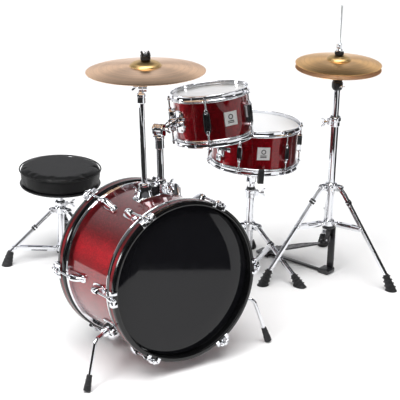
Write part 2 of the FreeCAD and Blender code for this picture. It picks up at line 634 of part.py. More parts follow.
# ---------------------------------------------------------------- snare stand
def clamp_collar(z0, z1, angle, axis_xy, inner=INNER_R):
    """Split collar at the top of an outer tube, with its wing bolt."""
    ring = at_axis(pipe(TUBE_R + 4.5, inner + RUN, z0, z1), axis_xy)
    ear = put(box(TUBE_R + 2, TUBE_R + 13, -7, 7, z0 + 6, z1 - 5), radial(axis_xy, angle))
    bolt = put(wing_bolt(8, 1.05), frame(V(TUBE_R + 12, 0, (z0 + z1) / 2), V(1, 0, 0), V(0, 0, 1)))
    return fuse(ring, ear, put(bolt, radial(axis_xy, angle)))


def stand_tube(spec, foot0, axis_xy, top, bottom, collar, collar_angle):
    """Outer tube with its height collar and the fixed lower hub."""
    z = spec["low"][1]
    tube = at_axis(pipe(TUBE_R, INNER_R + 0.4, bottom, top), axis_xy)
    ring = at_axis(pipe(TUBE_R + 5, INNER_R + 0.4, z - 10, z + 10), axis_xy)
    parts = [tube, ring, clamp_collar(collar[0], collar[1], collar_angle, axis_xy)]
    parts += tongue_ring(spec["low"], TUBE_R + 3, foot_angles(foot0), axis_xy)
    return fuse(*parts)


BASKET_PIVOT = V(SNARE_AXIS[0], SNARE_AXIS[1], 312.0)
BASKET_AXIS = V(0.0, 1.0, 0.0)


def snare_upper():
    """Inner tube with the clevis that the basket tilts in."""
    tube = pipe(INNER_R, INNER_R - 1.6, 190, 292)
    seat = cyl(12.5, (0, 0, SNARE_COLLAR[1] + 0.3), (0, 0, 296))
    cheeks = [fuse(box(-11, 11, min(k * 6.8, k * 11), max(k * 6.8, k * 11), 290, 312),
                   cyl(11, (0, k * 6.8, 312), (0, k * 11, 312))) for k in (-1, 1)]
    return at_axis(fuse(tube, seat, cyl(4.0, (0, -10, 312), (0, 10, 312)), *cheeks), SNARE_AXIS)


def snare_basket():
    """Tongue, centre boss, three arms and the rubber grips that hold the drum."""
    z = -SNARE_H - 12.0
    low = SNARE.inverse().multVec(BASKET_PIVOT)
    boss = cyl(17, (low.x, low.y, z - 9), (low.x, low.y, z))
    tongue = fuse(cyl(9.5, (low.x, low.y - 6, low.z), (low.x, low.y + 6, low.z)),
                  box(low.x - 8, low.x + 8, low.y - 6, low.y + 6, low.z, z - 2))
    hole = cyl(4.0 + RUN, BASKET_PIVOT - BASKET_AXIS * 20, BASKET_PIVOT + BASKET_AXIS * 20)
    metal = [boss, tongue.cut(put(hole, SNARE.inverse()))]
    rubber = []
    for a in TIP_ANGLES:
        metal.append(spin(box(2, SNARE_R + 10, -6, 6, z - 5, z - 0.6), a))
        metal.append(spin(box(SNARE_R + 10, SNARE_R + 14, -5, 5, z - 5, z + 24), a))
        grip = fuse(box(SNARE_R - 4, SNARE_R + 9.8, -8, 8, z - 0.4, z + 11.8),
                    box(SNARE_R + 9.8, SNARE_R + 18, -8, 8, z - 6, z + 36),
                    box(SNARE_R - 4, SNARE_R + 9.9, -8, 8, z - 9, z - 5.2))
        grip = grip.cut(box(SNARE_R, SNARE_R + 14.1, -5.1, 5.1, z - 5.1, z + 24.1))
        rubber.append(spin(grip, a))
    return put(group(fuse(*metal), rubber), SNARE)


# ---------------------------------------------------------------- hi-hat
def hat_cymbals():
    z, r = HAT_TOP_Z, HAT_R
    top = cymbal(r, 36, 14, 13, 4.6)
    top.translate(V(0, 0, z))
    low = cymbal(r, 36, 14, 13, 4.6)
    low.rotate(V(0, 0, 0), V(1, 0, 0), 180)
    low.translate(V(0, 0, z - HAT_GAP))
    return at_axis(top, HIHAT_AXIS), at_axis(low, HIHAT_AXIS)


def hihat_upper():
    """Inner tube with the lower cymbal's seat cup, tilt screw and felt."""
    bell = HAT_TOP_Z - HAT_GAP - 27.0
    tube = pipe(INNER_R, INNER_R - 1.8, 380, bell - 34)
    cup = lathe([(3.6, bell - 38), (14, bell - 38), (16, bell - 33), (16, bell - 14), (12, bell - 11),
                 (4.2, bell - 11), (4.2, bell + 6), (3.6, bell + 6)])
    screw = put(wing_bolt(4, 0.7), frame(V(15, 0, bell - 23), V(1, 0, 0), V(0, 1, 0)))
    screw = spin(screw, -95.0)
    felt = pipe(14.5, 4.3, bell - 10.9, bell - 2.2)
    return at_axis(group(fuse(tube, cup, screw), felt), HIHAT_AXIS)


def hihat_rod():
    """Pull rod with the yoke that the pedal's link hangs from."""
    rod = fuse(cyl(HAT_ROD_R + 0.2, (0, 0, 126), (0, 0, CLUTCH_TOP)),
               cyl(HAT_ROD_R, (0, 0, 700), (0, 0, HAT_ROD_TOP)))
    yoke = fuse(lathe([(0, 122), (6.5, 122), (6.5, 146), (0, 146)]), plate(
        [(-7, 104), (7, 104), (9, 126), (-9, 126)], -4, 4))
    return put(fuse(rod, yoke), radial(HIHAT_AXIS, PEDAL_ANGLE))


def hihat_clutch():
    """Clutch on the rod: sleeve through the upper cymbal, two felts, nuts and drum-key wing."""
    bell = HAT_TOP_Z + 27.0
    bore = HAT_ROD_R + 0.2
    body = lathe([(bore, bell - 13), (8.5, bell - 13), (8.5, bell - 9), (4.3, bell - 9), (4.3, bell + 10),
                  (10, bell + 10), (10, bell + 16), (7, bell + 17), (7, bell + 34), (bore, bell + 34)])
    wing = put(wing_bolt(3, 0.9), frame(V(6, 0, bell + 26), V(1, 0, 0), V(0, 0, 1)))
    wing = spin(wing, -150.0)
    low_felt = pipe(13, 4.4, bell - 8.9, bell - 2.9)
    top_felt = pipe(13.5, 4.4, bell + 0.6, bell + 9.9)
    return at_axis(group(fuse(body, wing.cut(cyl(bore, (0, 0, bell - 20), (0, 0, bell + 60)))),
                         low_felt, top_felt), HIHAT_AXIS)


def hihat_base():
    """Outer tube, collar and lower hub, with the pedal's frame, strut and heel plate."""
    spec, a = HIHAT_LEG, HIHAT_AXIS
    z = spec["low"][1]
    steel = stand_tube(spec, HIHAT_FOOT0, a, HIHAT_COLLAR[0] + 2, z - 12, HIHAT_COLLAR, 170.0)
    pedal = [box(-16, 6, -19, -13, 10, z - 10), box(-16, 16, -19, 19, z - 18, z - 12.2),
             box(-18, 22, -22, 16, 3, 16), box(6, 222, -7, 7, 3, 7)]
    pedal[1] = pedal[1].cut(cyl(8, (0, 0, 100), (0, 0, 200)))
    sole = [V(205, -27, 1.5), V(236, -27, 1.5), V(256, -18, 1.5)]
    sole = sole + [V(p.x, -p.y, 1.5) for p in reversed(sole)]
    heel = fuse(Part.Face(Part.makePolygon(sole + [sole[0]])).extrude(V(0, 0, 6.5)),
                *[box(200, 214, k * 29 - 2, k * 29 + 2, 1.5, 24) for k in (-1, 1)],
                *[box(208, 214, min(k * 24, k * 30), max(k * 24, k * 30), 1.5, 8) for k in (-1, 1)])
    axle = pin_y(PEDAL_HEEL, 3.0, 31)
    pads = [box(210, 248, -18, 18, 0, 1.5), box(-14, 18, -18, 12, 0, 3)]
    black = fuse(*pedal, heel, axle)
    return group(steel, put(black, radial(a, PEDAL_ANGLE)), [put(p, radial(a, PEDAL_ANGLE)) for p in pads])


def footboard():
    """Treadled board hinged on the heel plate, raised at the toe."""
    heel, toe = PEDAL_HEEL, PEDAL_TOE
    n = math.hypot(toe[0] - heel[0], toe[1] - heel[1])
    ang = math.degrees(math.atan2(toe[1] - heel[1], heel[0] - toe[0]))
    wide = [V(-4, -26.4, 0), V(40, -27, 0), V(95, -30, 0), V(140, -24, 0), V(n - 14, -10, 0), V(n, -7, 0)]
    outline = wide + [V(p.x, -p.y, 0) for p in reversed(wide)]
    board = Part.Face(Part.makePolygon(outline + [outline[0]])).extrude(V(0, 0, 4.5))
    board.translate(V(0, 0, 1.0))
    eye = cyl(5.0, (0, -26.4, 0), (0, 26.4, 0))
    hook = fuse(box(n - 10, n - 4, -5, 5, 3, 15))
    board = fuse(board, eye, hook).cut(cyl(3.0 + RUN, (0, -40, 0), (0, 40, 0)))
    board = spin(board, -ang, V(0, 0, 0), V(0, 1, 0))
    flip = FreeCAD.Placement(V(heel[0], 0, heel[1]), FreeCAD.Rotation(V(0, 0, 1), 180))
    return put(put(board, flip), radial(HIHAT_AXIS, PEDAL_ANGLE))


# ---------------------------------------------------------------- throne
def throne_base():
    spec, a = THRONE_LEG, THRONE_AXIS
    z = spec["top"][1]
    tube = at_axis(pipe(TUBE_R, INNER_R + 0.4, 14, THRONE_TUBE_TOP - 20), a)
    ring = at_axis(pipe(TUBE_R + 7, INNER_R + 0.4, z - 10, z + 12), a)
    parts = [tube, ring, clamp_collar(THRONE_TUBE_TOP - 21, THRONE_TUBE_TOP, -20.0, a)]
    parts += eye_pairs(spec["top"], TUBE_R + 5, foot_angles(THRONE_FOOT0), a, 7.5)
    return fuse(*parts)


def throne_collar():
    """Lower collar that rides up the tube as the legs fold."""
    z = THRONE_LEG["low"][1]
    ring = at_axis(pipe(TUBE_R + 4, TUBE_R + RUN, z - 9, z + 9), THRONE_AXIS)
    return fuse(ring, *tongue_ring(THRONE_LEG["low"], TUBE_R + 2, foot_angles(THRONE_FOOT0), THRONE_AXIS, 5.4))


def throne_post():
    z = SEAT_TOP - SEAT_T
    return at_axis(fuse(pipe(INNER_R, INNER_R - 1.8, 60, z - 8), cyl(INNER_R, (0, 0, z - 12), (0, 0, z - 4))),
                   THRONE_AXIS)


def throne_seat():
    """Upholstered round pad on its board, with the socket that turns on the post."""
    z = SEAT_TOP - SEAT_T
    pad = Part.makeCylinder(SEAT_R, SEAT_T - 6, V(0, 0, z + 6))
    pad = pad.makeFillet(9, [e for e in pad.Edges if e.Length > 700 and e.CenterOfMass.z > z + 20])
    board = Part.makeCylinder(SEAT_R - 4, 6, V(0, 0, z))
    socket = fuse(pipe(13, INNER_R + RUN, z - 22, z - 2), Part.makeCylinder(46, 2.4, V(0, 0, z - 2.4)))
    bolt = put(wing_bolt(6, 0.8), frame(V(12, 0, z - 13), V(1, 0, 0), V(0, 0, 1)))
    socket = fuse(socket, bolt)
    return at_axis(group(pad, board, socket), THRONE_AXIS)


# ---------------------------------------------------------------- assembly
def build():
    n = bass_nodes()
    n["crash_post"], n["crash_tilter"], n["crash_cymbal"] = crash_post(), crash_tilter(), crash_cymbal()
    n.update(drum_nodes("tom", TOM, TOM_R, TOM_H, TOM_LUG0, 31.0, TOM_LUGS))
    n["tom_post"], n["tom_arm"], n["tom_bracket"] = tom_post(), tom_arm(), tom_bracket()
    n.update(drum_nodes("snare", SNARE, SNARE_R, SNARE_H, SNARE_LUG0, 25.0, SNARE_LUGS))
    n["snare_wires"], n["strainer_lever"] = snare_wires(), strainer_lever()
    n["snare_upper"], n["snare_basket"] = snare_upper(), snare_basket()
    n["snare_stand_tube"] = stand_tube(SNARE_LEG, SNARE_FOOT0, SNARE_AXIS, SNARE_COLLAR[0] + 2, 26,
                                       SNARE_COLLAR, -25.0)
    n["snare_stand_hub"] = leg_hub(SNARE_LEG, foot_angles(SNARE_FOOT0), SNARE_AXIS)
    n.update(tripod_parts("snare_stand", SNARE_LEG, SNARE_FOOT0, SNARE_AXIS, False))
    n["hihat_cymbal_top"], n["hihat_cymbal_bottom"] = hat_cymbals()
    n["hihat_upper"], n["hihat_rod"], n["hihat_clutch"] = hihat_upper(), hihat_rod(), hihat_clutch()
    n["hihat_base"], n["hihat_footboard"] = hihat_base(), footboard()
    n["hihat_hub"] = leg_hub(HIHAT_LEG, foot_angles(HIHAT_FOOT0), HIHAT_AXIS, 235.0)
    n.update(tripod_parts("hihat", HIHAT_LEG, HIHAT_FOOT0, HIHAT_AXIS, True))
    n["throne_base"], n["throne_collar"] = throne_base(), throne_collar()
    n["throne_post"], n["throne_seat"] = throne_post(), throne_seat()
    n.update(tripod_parts("throne", THRONE_LEG, THRONE_FOOT0, THRONE_AXIS, False, -1))
    return n


def layout_shift(nodes):
    """The move that puts the middle of the kit's footprint at the origin."""
    b = FreeCAD.BoundBox()
    for s in nodes.values():
        b.add(s.optimalBoundingBox(False))
    return V(-(b.XMin + b.XMax) / 2, -(b.YMin + b.YMax) / 2, -b.ZMin)


NODES = build()
LAYOUT_SHIFT = layout_shift(NODES)
os.makedirs("parts", exist_ok=True)
for name, shape in NODES.items():
    moved = shape.copy()
    moved.translate(LAYOUT_SHIFT)
    moved.exportStep("parts/%s.step" % name)
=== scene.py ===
import json
import math
import bmesh
import bpy
from mathutils import Matrix, Vector


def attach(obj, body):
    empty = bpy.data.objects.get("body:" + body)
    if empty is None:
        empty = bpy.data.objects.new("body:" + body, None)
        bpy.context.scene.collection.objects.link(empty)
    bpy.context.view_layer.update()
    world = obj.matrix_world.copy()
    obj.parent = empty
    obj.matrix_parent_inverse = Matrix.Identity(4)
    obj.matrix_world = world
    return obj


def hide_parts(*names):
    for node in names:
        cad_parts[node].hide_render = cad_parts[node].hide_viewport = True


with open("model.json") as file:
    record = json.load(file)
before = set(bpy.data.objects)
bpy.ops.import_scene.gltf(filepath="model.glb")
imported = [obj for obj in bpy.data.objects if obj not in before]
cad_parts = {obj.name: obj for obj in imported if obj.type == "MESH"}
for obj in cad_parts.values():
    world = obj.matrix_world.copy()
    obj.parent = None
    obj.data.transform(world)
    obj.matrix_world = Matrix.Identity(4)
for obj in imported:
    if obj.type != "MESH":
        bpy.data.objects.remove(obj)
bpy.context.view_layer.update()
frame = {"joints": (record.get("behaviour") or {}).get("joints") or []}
scene = bpy.context.scene

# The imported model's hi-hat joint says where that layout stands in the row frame.
HAT_PIVOT = Vector((722, 313, 670))
PIVOT = next(j for j in frame["joints"] if j["name"] == "hihat_top_spin")["pos_m"]
SHIFT = Vector(PIVOT) - HAT_PIVOT * 0.001
ID = Matrix.Identity(4)

BASS_R, BASS_T, BASS_DEPTH, BASS_TILT, BASS_REAR_Z = 203.2, 6, 303.6, 5.567, 220.97
HOOP_R, HOOP_W, HEAD_INSET = 218, 38, 18
BASS_LUG_Z, ROD_RADIAL = 97, 223.6
POST_X, CRASH_POST_R, TOM_POST_R = 25.5, 7.5, 9.5
TOM_R, TOM_H, TOM_LUG0, TOM_ARM_ANGLE = 101.6, 143.1, -130, 176
SNARE_R, SNARE_H, SNARE_LUG0 = 127, 136.3, -144
TIP_ANGLES, STRAINER_ANGLE, BUTT_ANGLE = (-116, 18, 124), 184, 4
SNARE_AXIS, HIHAT_AXIS, THRONE_AXIS = (521, 447.5), (722, 313), (76, 835)
TUBE_R, INNER_R = 11.5, 9.5
PEDAL_ANGLE = 107.5
SPUR_R, SPUR_S, SPUR_ANGLE = 4.75, 200.6, 214      # rod, station along the shell, angle round it
SNARE_PIVOT_Z, HAT_GAP = 312, 14
SEAT_Z, SEAT_R, SEAT_THICK = 240, 127, 60
SNARE_FOOT0, HIHAT_FOOT0, THRONE_FOOT0 = -68.4, 54.3, 54.3


def frame_at(origin, z, hint=(1, 0, 0)):
    """Matrix whose local Z is z and whose local X lies nearest to hint."""
    z, hint = Vector(z).normalized(), Vector(hint)
    x = (hint - z * hint.dot(z)).normalized()
    y = z.cross(x)
    return Matrix(((x.x, y.x, z.x, origin[0]), (x.y, y.y, z.y, origin[1]), (x.z, y.z, z.z, origin[2]),
        (0, 0, 0, 1)))


def facing_out(x, y, z):
    """Local Z points outward along X, local X points up."""
    return frame_at((x, y, z), (1, 0, 0), (0, 0, 1))


def move(x=0, y=0, z=0):
    return Matrix.Translation((x, y, z))


def turn(angle, axis="Z"):
    return Matrix.Rotation(math.radians(angle), 4, axis)


def radial(axis_xy, angle, z=0):
    """Local X points away from a stand's axis, local Z is up."""
    return move(axis_xy[0], axis_xy[1], z) @ turn(angle)


BT = math.radians(BASS_TILT)
BASS = frame_at((0, BASS_DEPTH * math.cos(BT), BASS_REAR_Z), (0, -math.cos(BT), math.sin(BT)))
BASS_UP = Vector((0, math.sin(BT), math.cos(BT)))
FLIP = move(0, 0, BASS_DEPTH) @ turn(180, "Y")
TOM = frame_at((223.4, 251.8, 680.8), (-0.057, 0.163, 0.985))
SNARE = frame_at((533.9, 451.3, 486), (0.06, 0.03, 1))
CRASH = frame_at((-14.7, 193.5, 775.6), (-0.01, 0.05, 1))
SIDE = Vector((0.83, -0.558, 0)).normalized()


def over_drum(x, u, s=BASS_DEPTH / 2):
    return BASS @ Vector((x, u, s))


def post_frame(x):
    return frame_at(over_drum(x, 0), BASS_UP)


# ------------------------------------------------------------------ mesh building
def soften(points, r, steps=3, closed=True):
    """Rounds the corners of an outline or a path, by at most half of each side."""
    pts = [Vector(p) for p in points]
    out, n = [], len(pts)
    for i, b in enumerate(pts):
        if not closed and i in (0, n - 1):
            out.append(b)
            continue
        a, c = pts[i - 1], pts[(i + 1) % n]
        u, w = a - b, c - b
        if u.length < 1e-6 or w.length < 1e-6:
            out.append(b)
            continue
        half = u.angle(w) / 2
        if half > math.radians(84):
            out.append(b)
            continue
        t = min(r / max(math.tan(half), 0.2), u.length * 0.48, w.length * 0.48)
        p, q = b + u.normalized() * t, b + w.normalized() * t
        for k in range(steps + 1):
            f = k / steps
            out.append(p * (1 - f) ** 2 + b * 2 * f * (1 - f) + q * f * f)
    return out


def lathe(profile, n=48, closed=True, r=0, steps=3, about=(0, 0)):
    """(r, z) outline, measured from about, turned about Z; r rounds its corners."""
    prof = [Vector((a + about[0], b + about[1])) for a, b in profile]
    if r:
        prof = [Vector((max(p.x, 0), p.y)) for p in soften(prof, r, steps, closed)]
    verts, rows, faces = [], [], []
    for p in prof:
        if p.x < 1e-5:
            rows.append([len(verts)])
            verts.append(Vector((0, 0, p.y)))
        else:
            rows.append(list(range(len(verts), len(verts) + n)))
            verts += [Vector((p.x * math.cos(math.tau * k / n), p.x * math.sin(math.tau * k / n),
                p.y)) for k in range(n)]
    pairs = list(zip(rows, rows[1:])) + ([(rows[-1], rows[0])] if closed else [])
    for a, b in pairs:
        for i in range(n):
            j = (i + 1) % n
            if len(a) == 1 and len(b) == 1:
                continue
            if len(a) == 1:
                faces.append((a[0], b[j], b[i]))
            elif len(b) == 1:
                faces.append((a[i], a[j], b[0]))
            else:
                faces.append((a[i], a[j], b[j], b[i]))
    return verts, faces


def pipe(ro, ri, z0, z1, n=48, r=0.6, steps=2):
    return lathe([(ri, z0), (ro, z0), (ro, z1), (ri, z1)], n, r=r, steps=steps)


def tube(ri, ro, z0, z1, n=40, r=0.4):
    return pipe(ro, ri, z0, z1, n, r, 3)


def post(r, z0, z1, n=24, edge=0.6):
    """Solid round bar on Z with softened ends."""
    e = min(edge, (z1 - z0) * 0.45)
    return lathe([(0, z0), (r - e, z0), (r, z0 + e), (r, z1 - e), (r - e, z1), (0, z1)], n, False)


def bar(p, q, r, n=20, edge=0.6):
    """Solid round bar from p to q."""
    p, q = Vector(p), Vector(q)
    hint = (1, 0, 0) if abs((q - p).normalized().x) < 0.9 else (0, 1, 0)
    return at(post(r, 0, (q - p).length, n, edge), frame_at(p, q - p, hint))


def at(part, matrix):
    return [matrix @ v for v in part[0]], part[1]


def joined(*parts):
    verts, faces = [], []
    for v, f in parts:
        n = len(verts)
        verts += v
        faces += [tuple(i + n for i in face) for face in f]
    return verts, faces


def loft(sections):
    """Closed loops of equally many points, skinned and capped."""
    n, verts, faces = len(sections[0]), [], []
    for s in sections:
        verts += [Vector(p) for p in s]
    for k in range(len(sections) - 1):
        for i in range(n):
            j = (i + 1) % n
            faces.append((k * n + i, k * n + j, (k + 1) * n + j, (k + 1) * n + i))
    faces.append(tuple(range(n)))
    faces.append(tuple(reversed(range((len(sections) - 1) * n, len(sections) * n))))
    return verts, faces


def sweep(path, r, n=16, bend=0, flat=1, steps=6):
    """Round rod along a path; flat squashes its section, r may be a list of radii."""
    pts = soften(path, bend, steps, False) if bend else [Vector(p) for p in path]
    rr = r if isinstance(r, list) else [r] * len(pts)
    tangents = [(pts[min(i + 1, len(pts) - 1)] - pts[max(i - 1, 0)]).normalized() for i in range(len(pts))]
    side = tangents[0].orthogonal().normalized()
    loops = []
    for p, t, q in zip(pts, tangents, rr):
        side = (side - t * side.dot(t)).normalized()
        up = t.cross(side)
        loops.append([p + side * q * math.cos(math.tau * k / n) + up * q * flat * math.sin(math.tau * k / n)
            for k in range(n)])
    return loft(loops)


def from_bmesh(bm, bevel, segments=2):
    if bevel:
        bmesh.ops.recalc_face_normals(bm, faces=bm.faces)
        edges = [e for e in bm.edges if len(e.link_faces) == 2 and e.calc_face_angle(0) > math.radians(28)]
        bmesh.ops.bevel(bm, geom=edges, offset=bevel, segments=segments, affect="EDGES", profile=0.6,
            clamp_overlap=True)
    bm.verts.index_update()
    part = [v.co.copy() for v in bm.verts], [tuple(v.index for v in f.verts) for f in bm.faces]
    bm.free()
    return part


def box(x0, x1, y0, y1, z0, z1, bevel=0.8, segments=2):
    bm = bmesh.new()
    bmesh.ops.create_cube(bm, size=1)
    for v in bm.verts:
        v.co = Vector((x0 if v.co.x < 0 else x1, y0 if v.co.y < 0 else y1, z0 if v.co.z < 0 else z1))
    return from_bmesh(bm, bevel, segments)


def plate(outline, y0, y1, bevel=0.6, rounded=0, segments=2, about=(0, 0)):
    """Outline in XZ, measured from about, thick along Y."""
    outline = [(x + about[0], z + about[1]) for x, z in outline]
    if rounded:
        outline = [(p.x, p.y) for p in soften([Vector(p) for p in outline], rounded, 4)]
    bm = bmesh.new()
    low = [bm.verts.new((x, y0, z)) for x, z in outline]
    high = [bm.verts.new((x, y1, z)) for x, z in outline]
    bm.faces.new(low)
    bm.faces.new(list(reversed(high)))
    for i in range(len(low)):
        j = (i + 1) % len(low)
        bm.faces.new((low[i], high[i], high[j], low[j]))
    return from_bmesh(bm, bevel, segments)


def slab(outline, z0, z1, bevel=0.6, rounded=0, segments=2):
    """Outline in XY, thick along Z."""
    return at(plate([(x, -y) for x, y in outline], z0, z1, bevel, rounded, segments), turn(90, "X"))


def frame_plate(outer, inner, y0, y1):
    """Plate in XZ with a window: two outlines with equally many points."""
    n, verts, faces = len(outer), [], []
    for y in (y0, y1):
        for loop in (outer, inner):
            verts += [Vector((x, y, z)) for x, z in loop]
    for i in range(n):
        j = (i + 1) % n
        faces.append((i, j, n + j, n + i))
        faces.append((2 * n + i, 3 * n + i, 3 * n + j, 2 * n + j))
        faces.append((i, 2 * n + i, 2 * n + j, j))
        faces.append((n + i, n + j, 3 * n + j, 3 * n + i))
    return verts, faces


def ellipse(a, b, n=24, cx=0, cz=0, power=1):
    out = []
    for k in range(n):
        c, s = math.cos(math.tau * k / n), math.sin(math.tau * k / n)
        out.append((cx + a * math.copysign(abs(c) ** power, c), cz + b * math.copysign(abs(s) ** power, s)))
    return out


def placed(name, data):
    obj = bpy.data.objects.new(name, data)
    scene.collection.objects.link(obj)
    return obj


class Piece:
    """One visible object built of several parts, each with its own material."""

    def __init__(self, name, body, slot, *replaced):
        self.name, self.body, self.slot, self.replaced = name, body, slot, replaced
        self.verts, self.faces, self.index, self.mats = [], [], [], []

    def add(self, part, *places, mat="chrome"):
        """Adds the part once for each place."""
        if mat not in self.mats:
            self.mats.append(mat)
        for place in places or (ID,):
            n = len(self.verts)
            self.verts += [place @ v for v in part[0]]
            self.faces += [tuple(i + n for i in f) for f in part[1]]
            self.index += [self.mats.index(mat)] * len(part[1])
        return self

    def done(self, sharp=34, local=None):
        """Makes the object. A piece whose finish turns about its own axis keeps that axis in local."""
        home = local or ID
        inverse = home.inverted()
        mesh = bpy.data.meshes.new(self.name)
        mesh.from_pydata([(inverse @ v) * 0.001 for v in self.verts], [], self.faces)
        for m in self.mats:
            mesh.materials.append(MAT[m])
        for poly, k in zip(mesh.polygons, self.index):
            poly.material_index = k
        bm = bmesh.new()
        bm.from_mesh(mesh)
        bmesh.ops.recalc_face_normals(bm, faces=bm.faces)
        bm.to_mesh(mesh)
        bm.free()
        mesh.polygons.foreach_set("use_smooth", [True] * len(mesh.polygons))
        mesh.set_sharp_from_angle(angle=math.radians(sharp))
        obj = placed(self.name, mesh)
        place = home.copy()
        place.translation = home.translation * 0.001 + SHIFT
        obj.matrix_world = place
        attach(obj, self.body)
        if self.replaced:
            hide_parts(*self.replaced)
        return obj


# ------------------------------------------------------------------ materials
MAT = {}


class Tree:
    """Short way to write a node tree."""

    def __init__(self, tree):
        self.tree = tree

    def node(self, kind, inputs=(), out=0, **settings):
        n = self.tree.nodes.new("ShaderNode" + kind)
        for key, value in settings.items():
            setattr(n, key, value)
        for key, value in dict(inputs).items():
            if isinstance(value, bpy.types.NodeSocket):
                self.tree.links.new(value, n.inputs[key])
            else:
                n.inputs[key].default_value = value
        return n.outputs[out]

    def ramp(self, value, *stops):
        n = self.tree.nodes.new("ShaderNodeValToRGB")
        self.tree.links.new(value, n.inputs[0])
        e = n.color_ramp.elements
        while len(e) < len(stops):
            e.new(0.5)
        for item, (pos, colour) in zip(e, stops):
            item.position = pos
            item.color = (*colour, 1) if isinstance(colour, tuple) else (colour, colour, colour, 1)
        return n.outputs[0]

    def math(self, op, a, b=0):
        return self.node("Math", {0: a, 1: b}, operation=op)

    def mix(self, factor, a, b, blend="MIX"):
        n = self.tree.nodes.new("ShaderNodeMix")
        n.data_type, n.blend_type = "RGBA", blend
        for key, value in ((0, factor), (6, a), (7, b)):
            if isinstance(value, bpy.types.NodeSocket):
                self.tree.links.new(value, n.inputs[key])
            else:
                n.inputs[key].default_value = (*value, 1) if isinstance(value, tuple) else value
        return n.outputs[2]


class Nodes(Tree):
    """A material: its principled shader, and the object's own coordinates."""

    def __init__(self, name):
        MAT[name] = mat = bpy.data.materials.new(name)
        mat.use_nodes = True
        super().__init__(mat.node_tree)
        self.shader = self.tree.nodes["Principled BSDF"]
        self.coords = self.node("TexCoord", out="Object")

    def set(self, **values):
        for key, value in values.items():
            self.shader.inputs[key.replace("_", " ")].default_value = value
        return self

    def noise(self, scale, detail=2, rough=0.5, coords=None, out=0):
        return self.node("TexNoise", {"Vector": coords or self.coords, "Scale": scale, "Detail": detail,
            "Roughness": rough}, out)

    def cells(self, scale, out=0, coords=None, feature="F1"):
        return self.node("TexVoronoi", {"Vector": coords or self.coords, "Scale": scale}, out,
            feature=feature)

    def to(self, socket, value):
        self.tree.links.new(value, self.shader.inputs[socket])
        return self

    def bump(self, height, strength, distance=0.0005):
        n = self.node("Bump", {"Height": height, "Strength": strength, "Distance": distance})
        return self.to("Normal", n)


def rgb(r, g, b):
    """sRGB 0..255 to the scene's linear colour."""
    return tuple((c / 255 / 12.92) if c <= 10 else ((c / 255 + 0.055) / 1.055) ** 2.4 for c in (r, g, b))


def metal(name, colour, rough, wear=0.05, bump=0, scale=60):
    m = Nodes(name).set(Metallic=1)
    n = m.noise(scale, 3)
    m.to("Base Color", m.ramp(n, (0.3, tuple(c * (1 - wear) for c in colour)), (0.7, colour)))
    m.to("Roughness", m.node("Math", {0: n, 1: wear, 2: rough}, operation="MULTIPLY_ADD"))
    if bump:
        m.bump(m.noise(scale * 12, 2), bump)
    return m


def matte(name, colour, rough, grain, scale, strength, spread=0.25, coat=0):
    """Rubber, felt, plastic and powder coat: a tinted grain over a fine bump."""
    m = Nodes(name).set(Coat_Weight=coat, Coat_Roughness=0.2)
    n = m.noise(scale, 4, 0.6)
    m.to("Base Color", m.ramp(n, (0.35, tuple(c * (1 - spread) for c in colour)),
        (0.65, tuple(min(1, c * (1 + spread)) for c in colour))))
    m.to("Roughness", m.ramp(n, (0.3, rough - grain), (0.7, rough + grain)))
    m.bump(m.noise(scale * 4, 3, 0.7), strength, 0.0004)
    return m


def sparkle(name, deep, bright, flake_scale=900):
    """Wrap with metal flake under a clear glossy film."""
    m = Nodes(name).set(Metallic=0.9, Roughness=0.38, Specular_IOR_Level=0.05, Coat_Weight=1,
        Coat_Roughness=0.02, Coat_IOR=1.5)
    flakes = m.cells(flake_scale, 1)
    value = m.node("SeparateColor", {"Color": flakes}, 0)
    tone = m.ramp(value, (0, deep), (0.72, tuple(d * 0.6 + b * 0.4 for d, b in zip(deep, bright))),
        (1, bright))
    cloud = m.ramp(m.noise(26, 2), (0.3, 0.86), (0.7, 1))
    m.to("Base Color", m.mix(1, tone, cloud, "MULTIPLY"))
    m.bump(value, 0.10, 0.0002)
    return m


def cymbal_metal(name, bow, bell, bell_r, rim_r):
    """Lathed bronze: fine rings about the object's own Z, a burnished bell, radial glints."""
    m = Nodes(name).set(Metallic=1, Anisotropic=0.82)
    xyz = m.node("SeparateXYZ", {0: m.coords}, 0)
    sep = xyz.node
    r2 = m.math("ADD", m.math("MULTIPLY", sep.outputs[0], sep.outputs[0]), m.math("MULTIPLY",
        sep.outputs[1], sep.outputs[1]))
    radius = m.math("SQRT", r2)
    rings = m.node("CombineXYZ", {0: radius})
    groove = m.noise(900, 3, 0.6, rings)
    band = m.noise(90, 2, 0.5, rings)
    colour = m.mix(m.ramp(band, (0.35, 0), (0.65, 1)), tuple(c * 0.86 for c in bow), bow)
    on_bell = m.ramp(m.math("DIVIDE", radius, rim_r), (bell_r / rim_r - 0.004, 1),
        (bell_r / rim_r + 0.012, 0))
    m.to("Base Color", m.mix(on_bell, colour, bell))
    m.to("Roughness", m.ramp(groove, (0.3, 0.24), (0.7, 0.38)))
    m.to("Tangent", m.node("Tangent", direction_type="RADIAL", axis="Z"))
    m.bump(groove, 0.25, 0.00012)
    return m


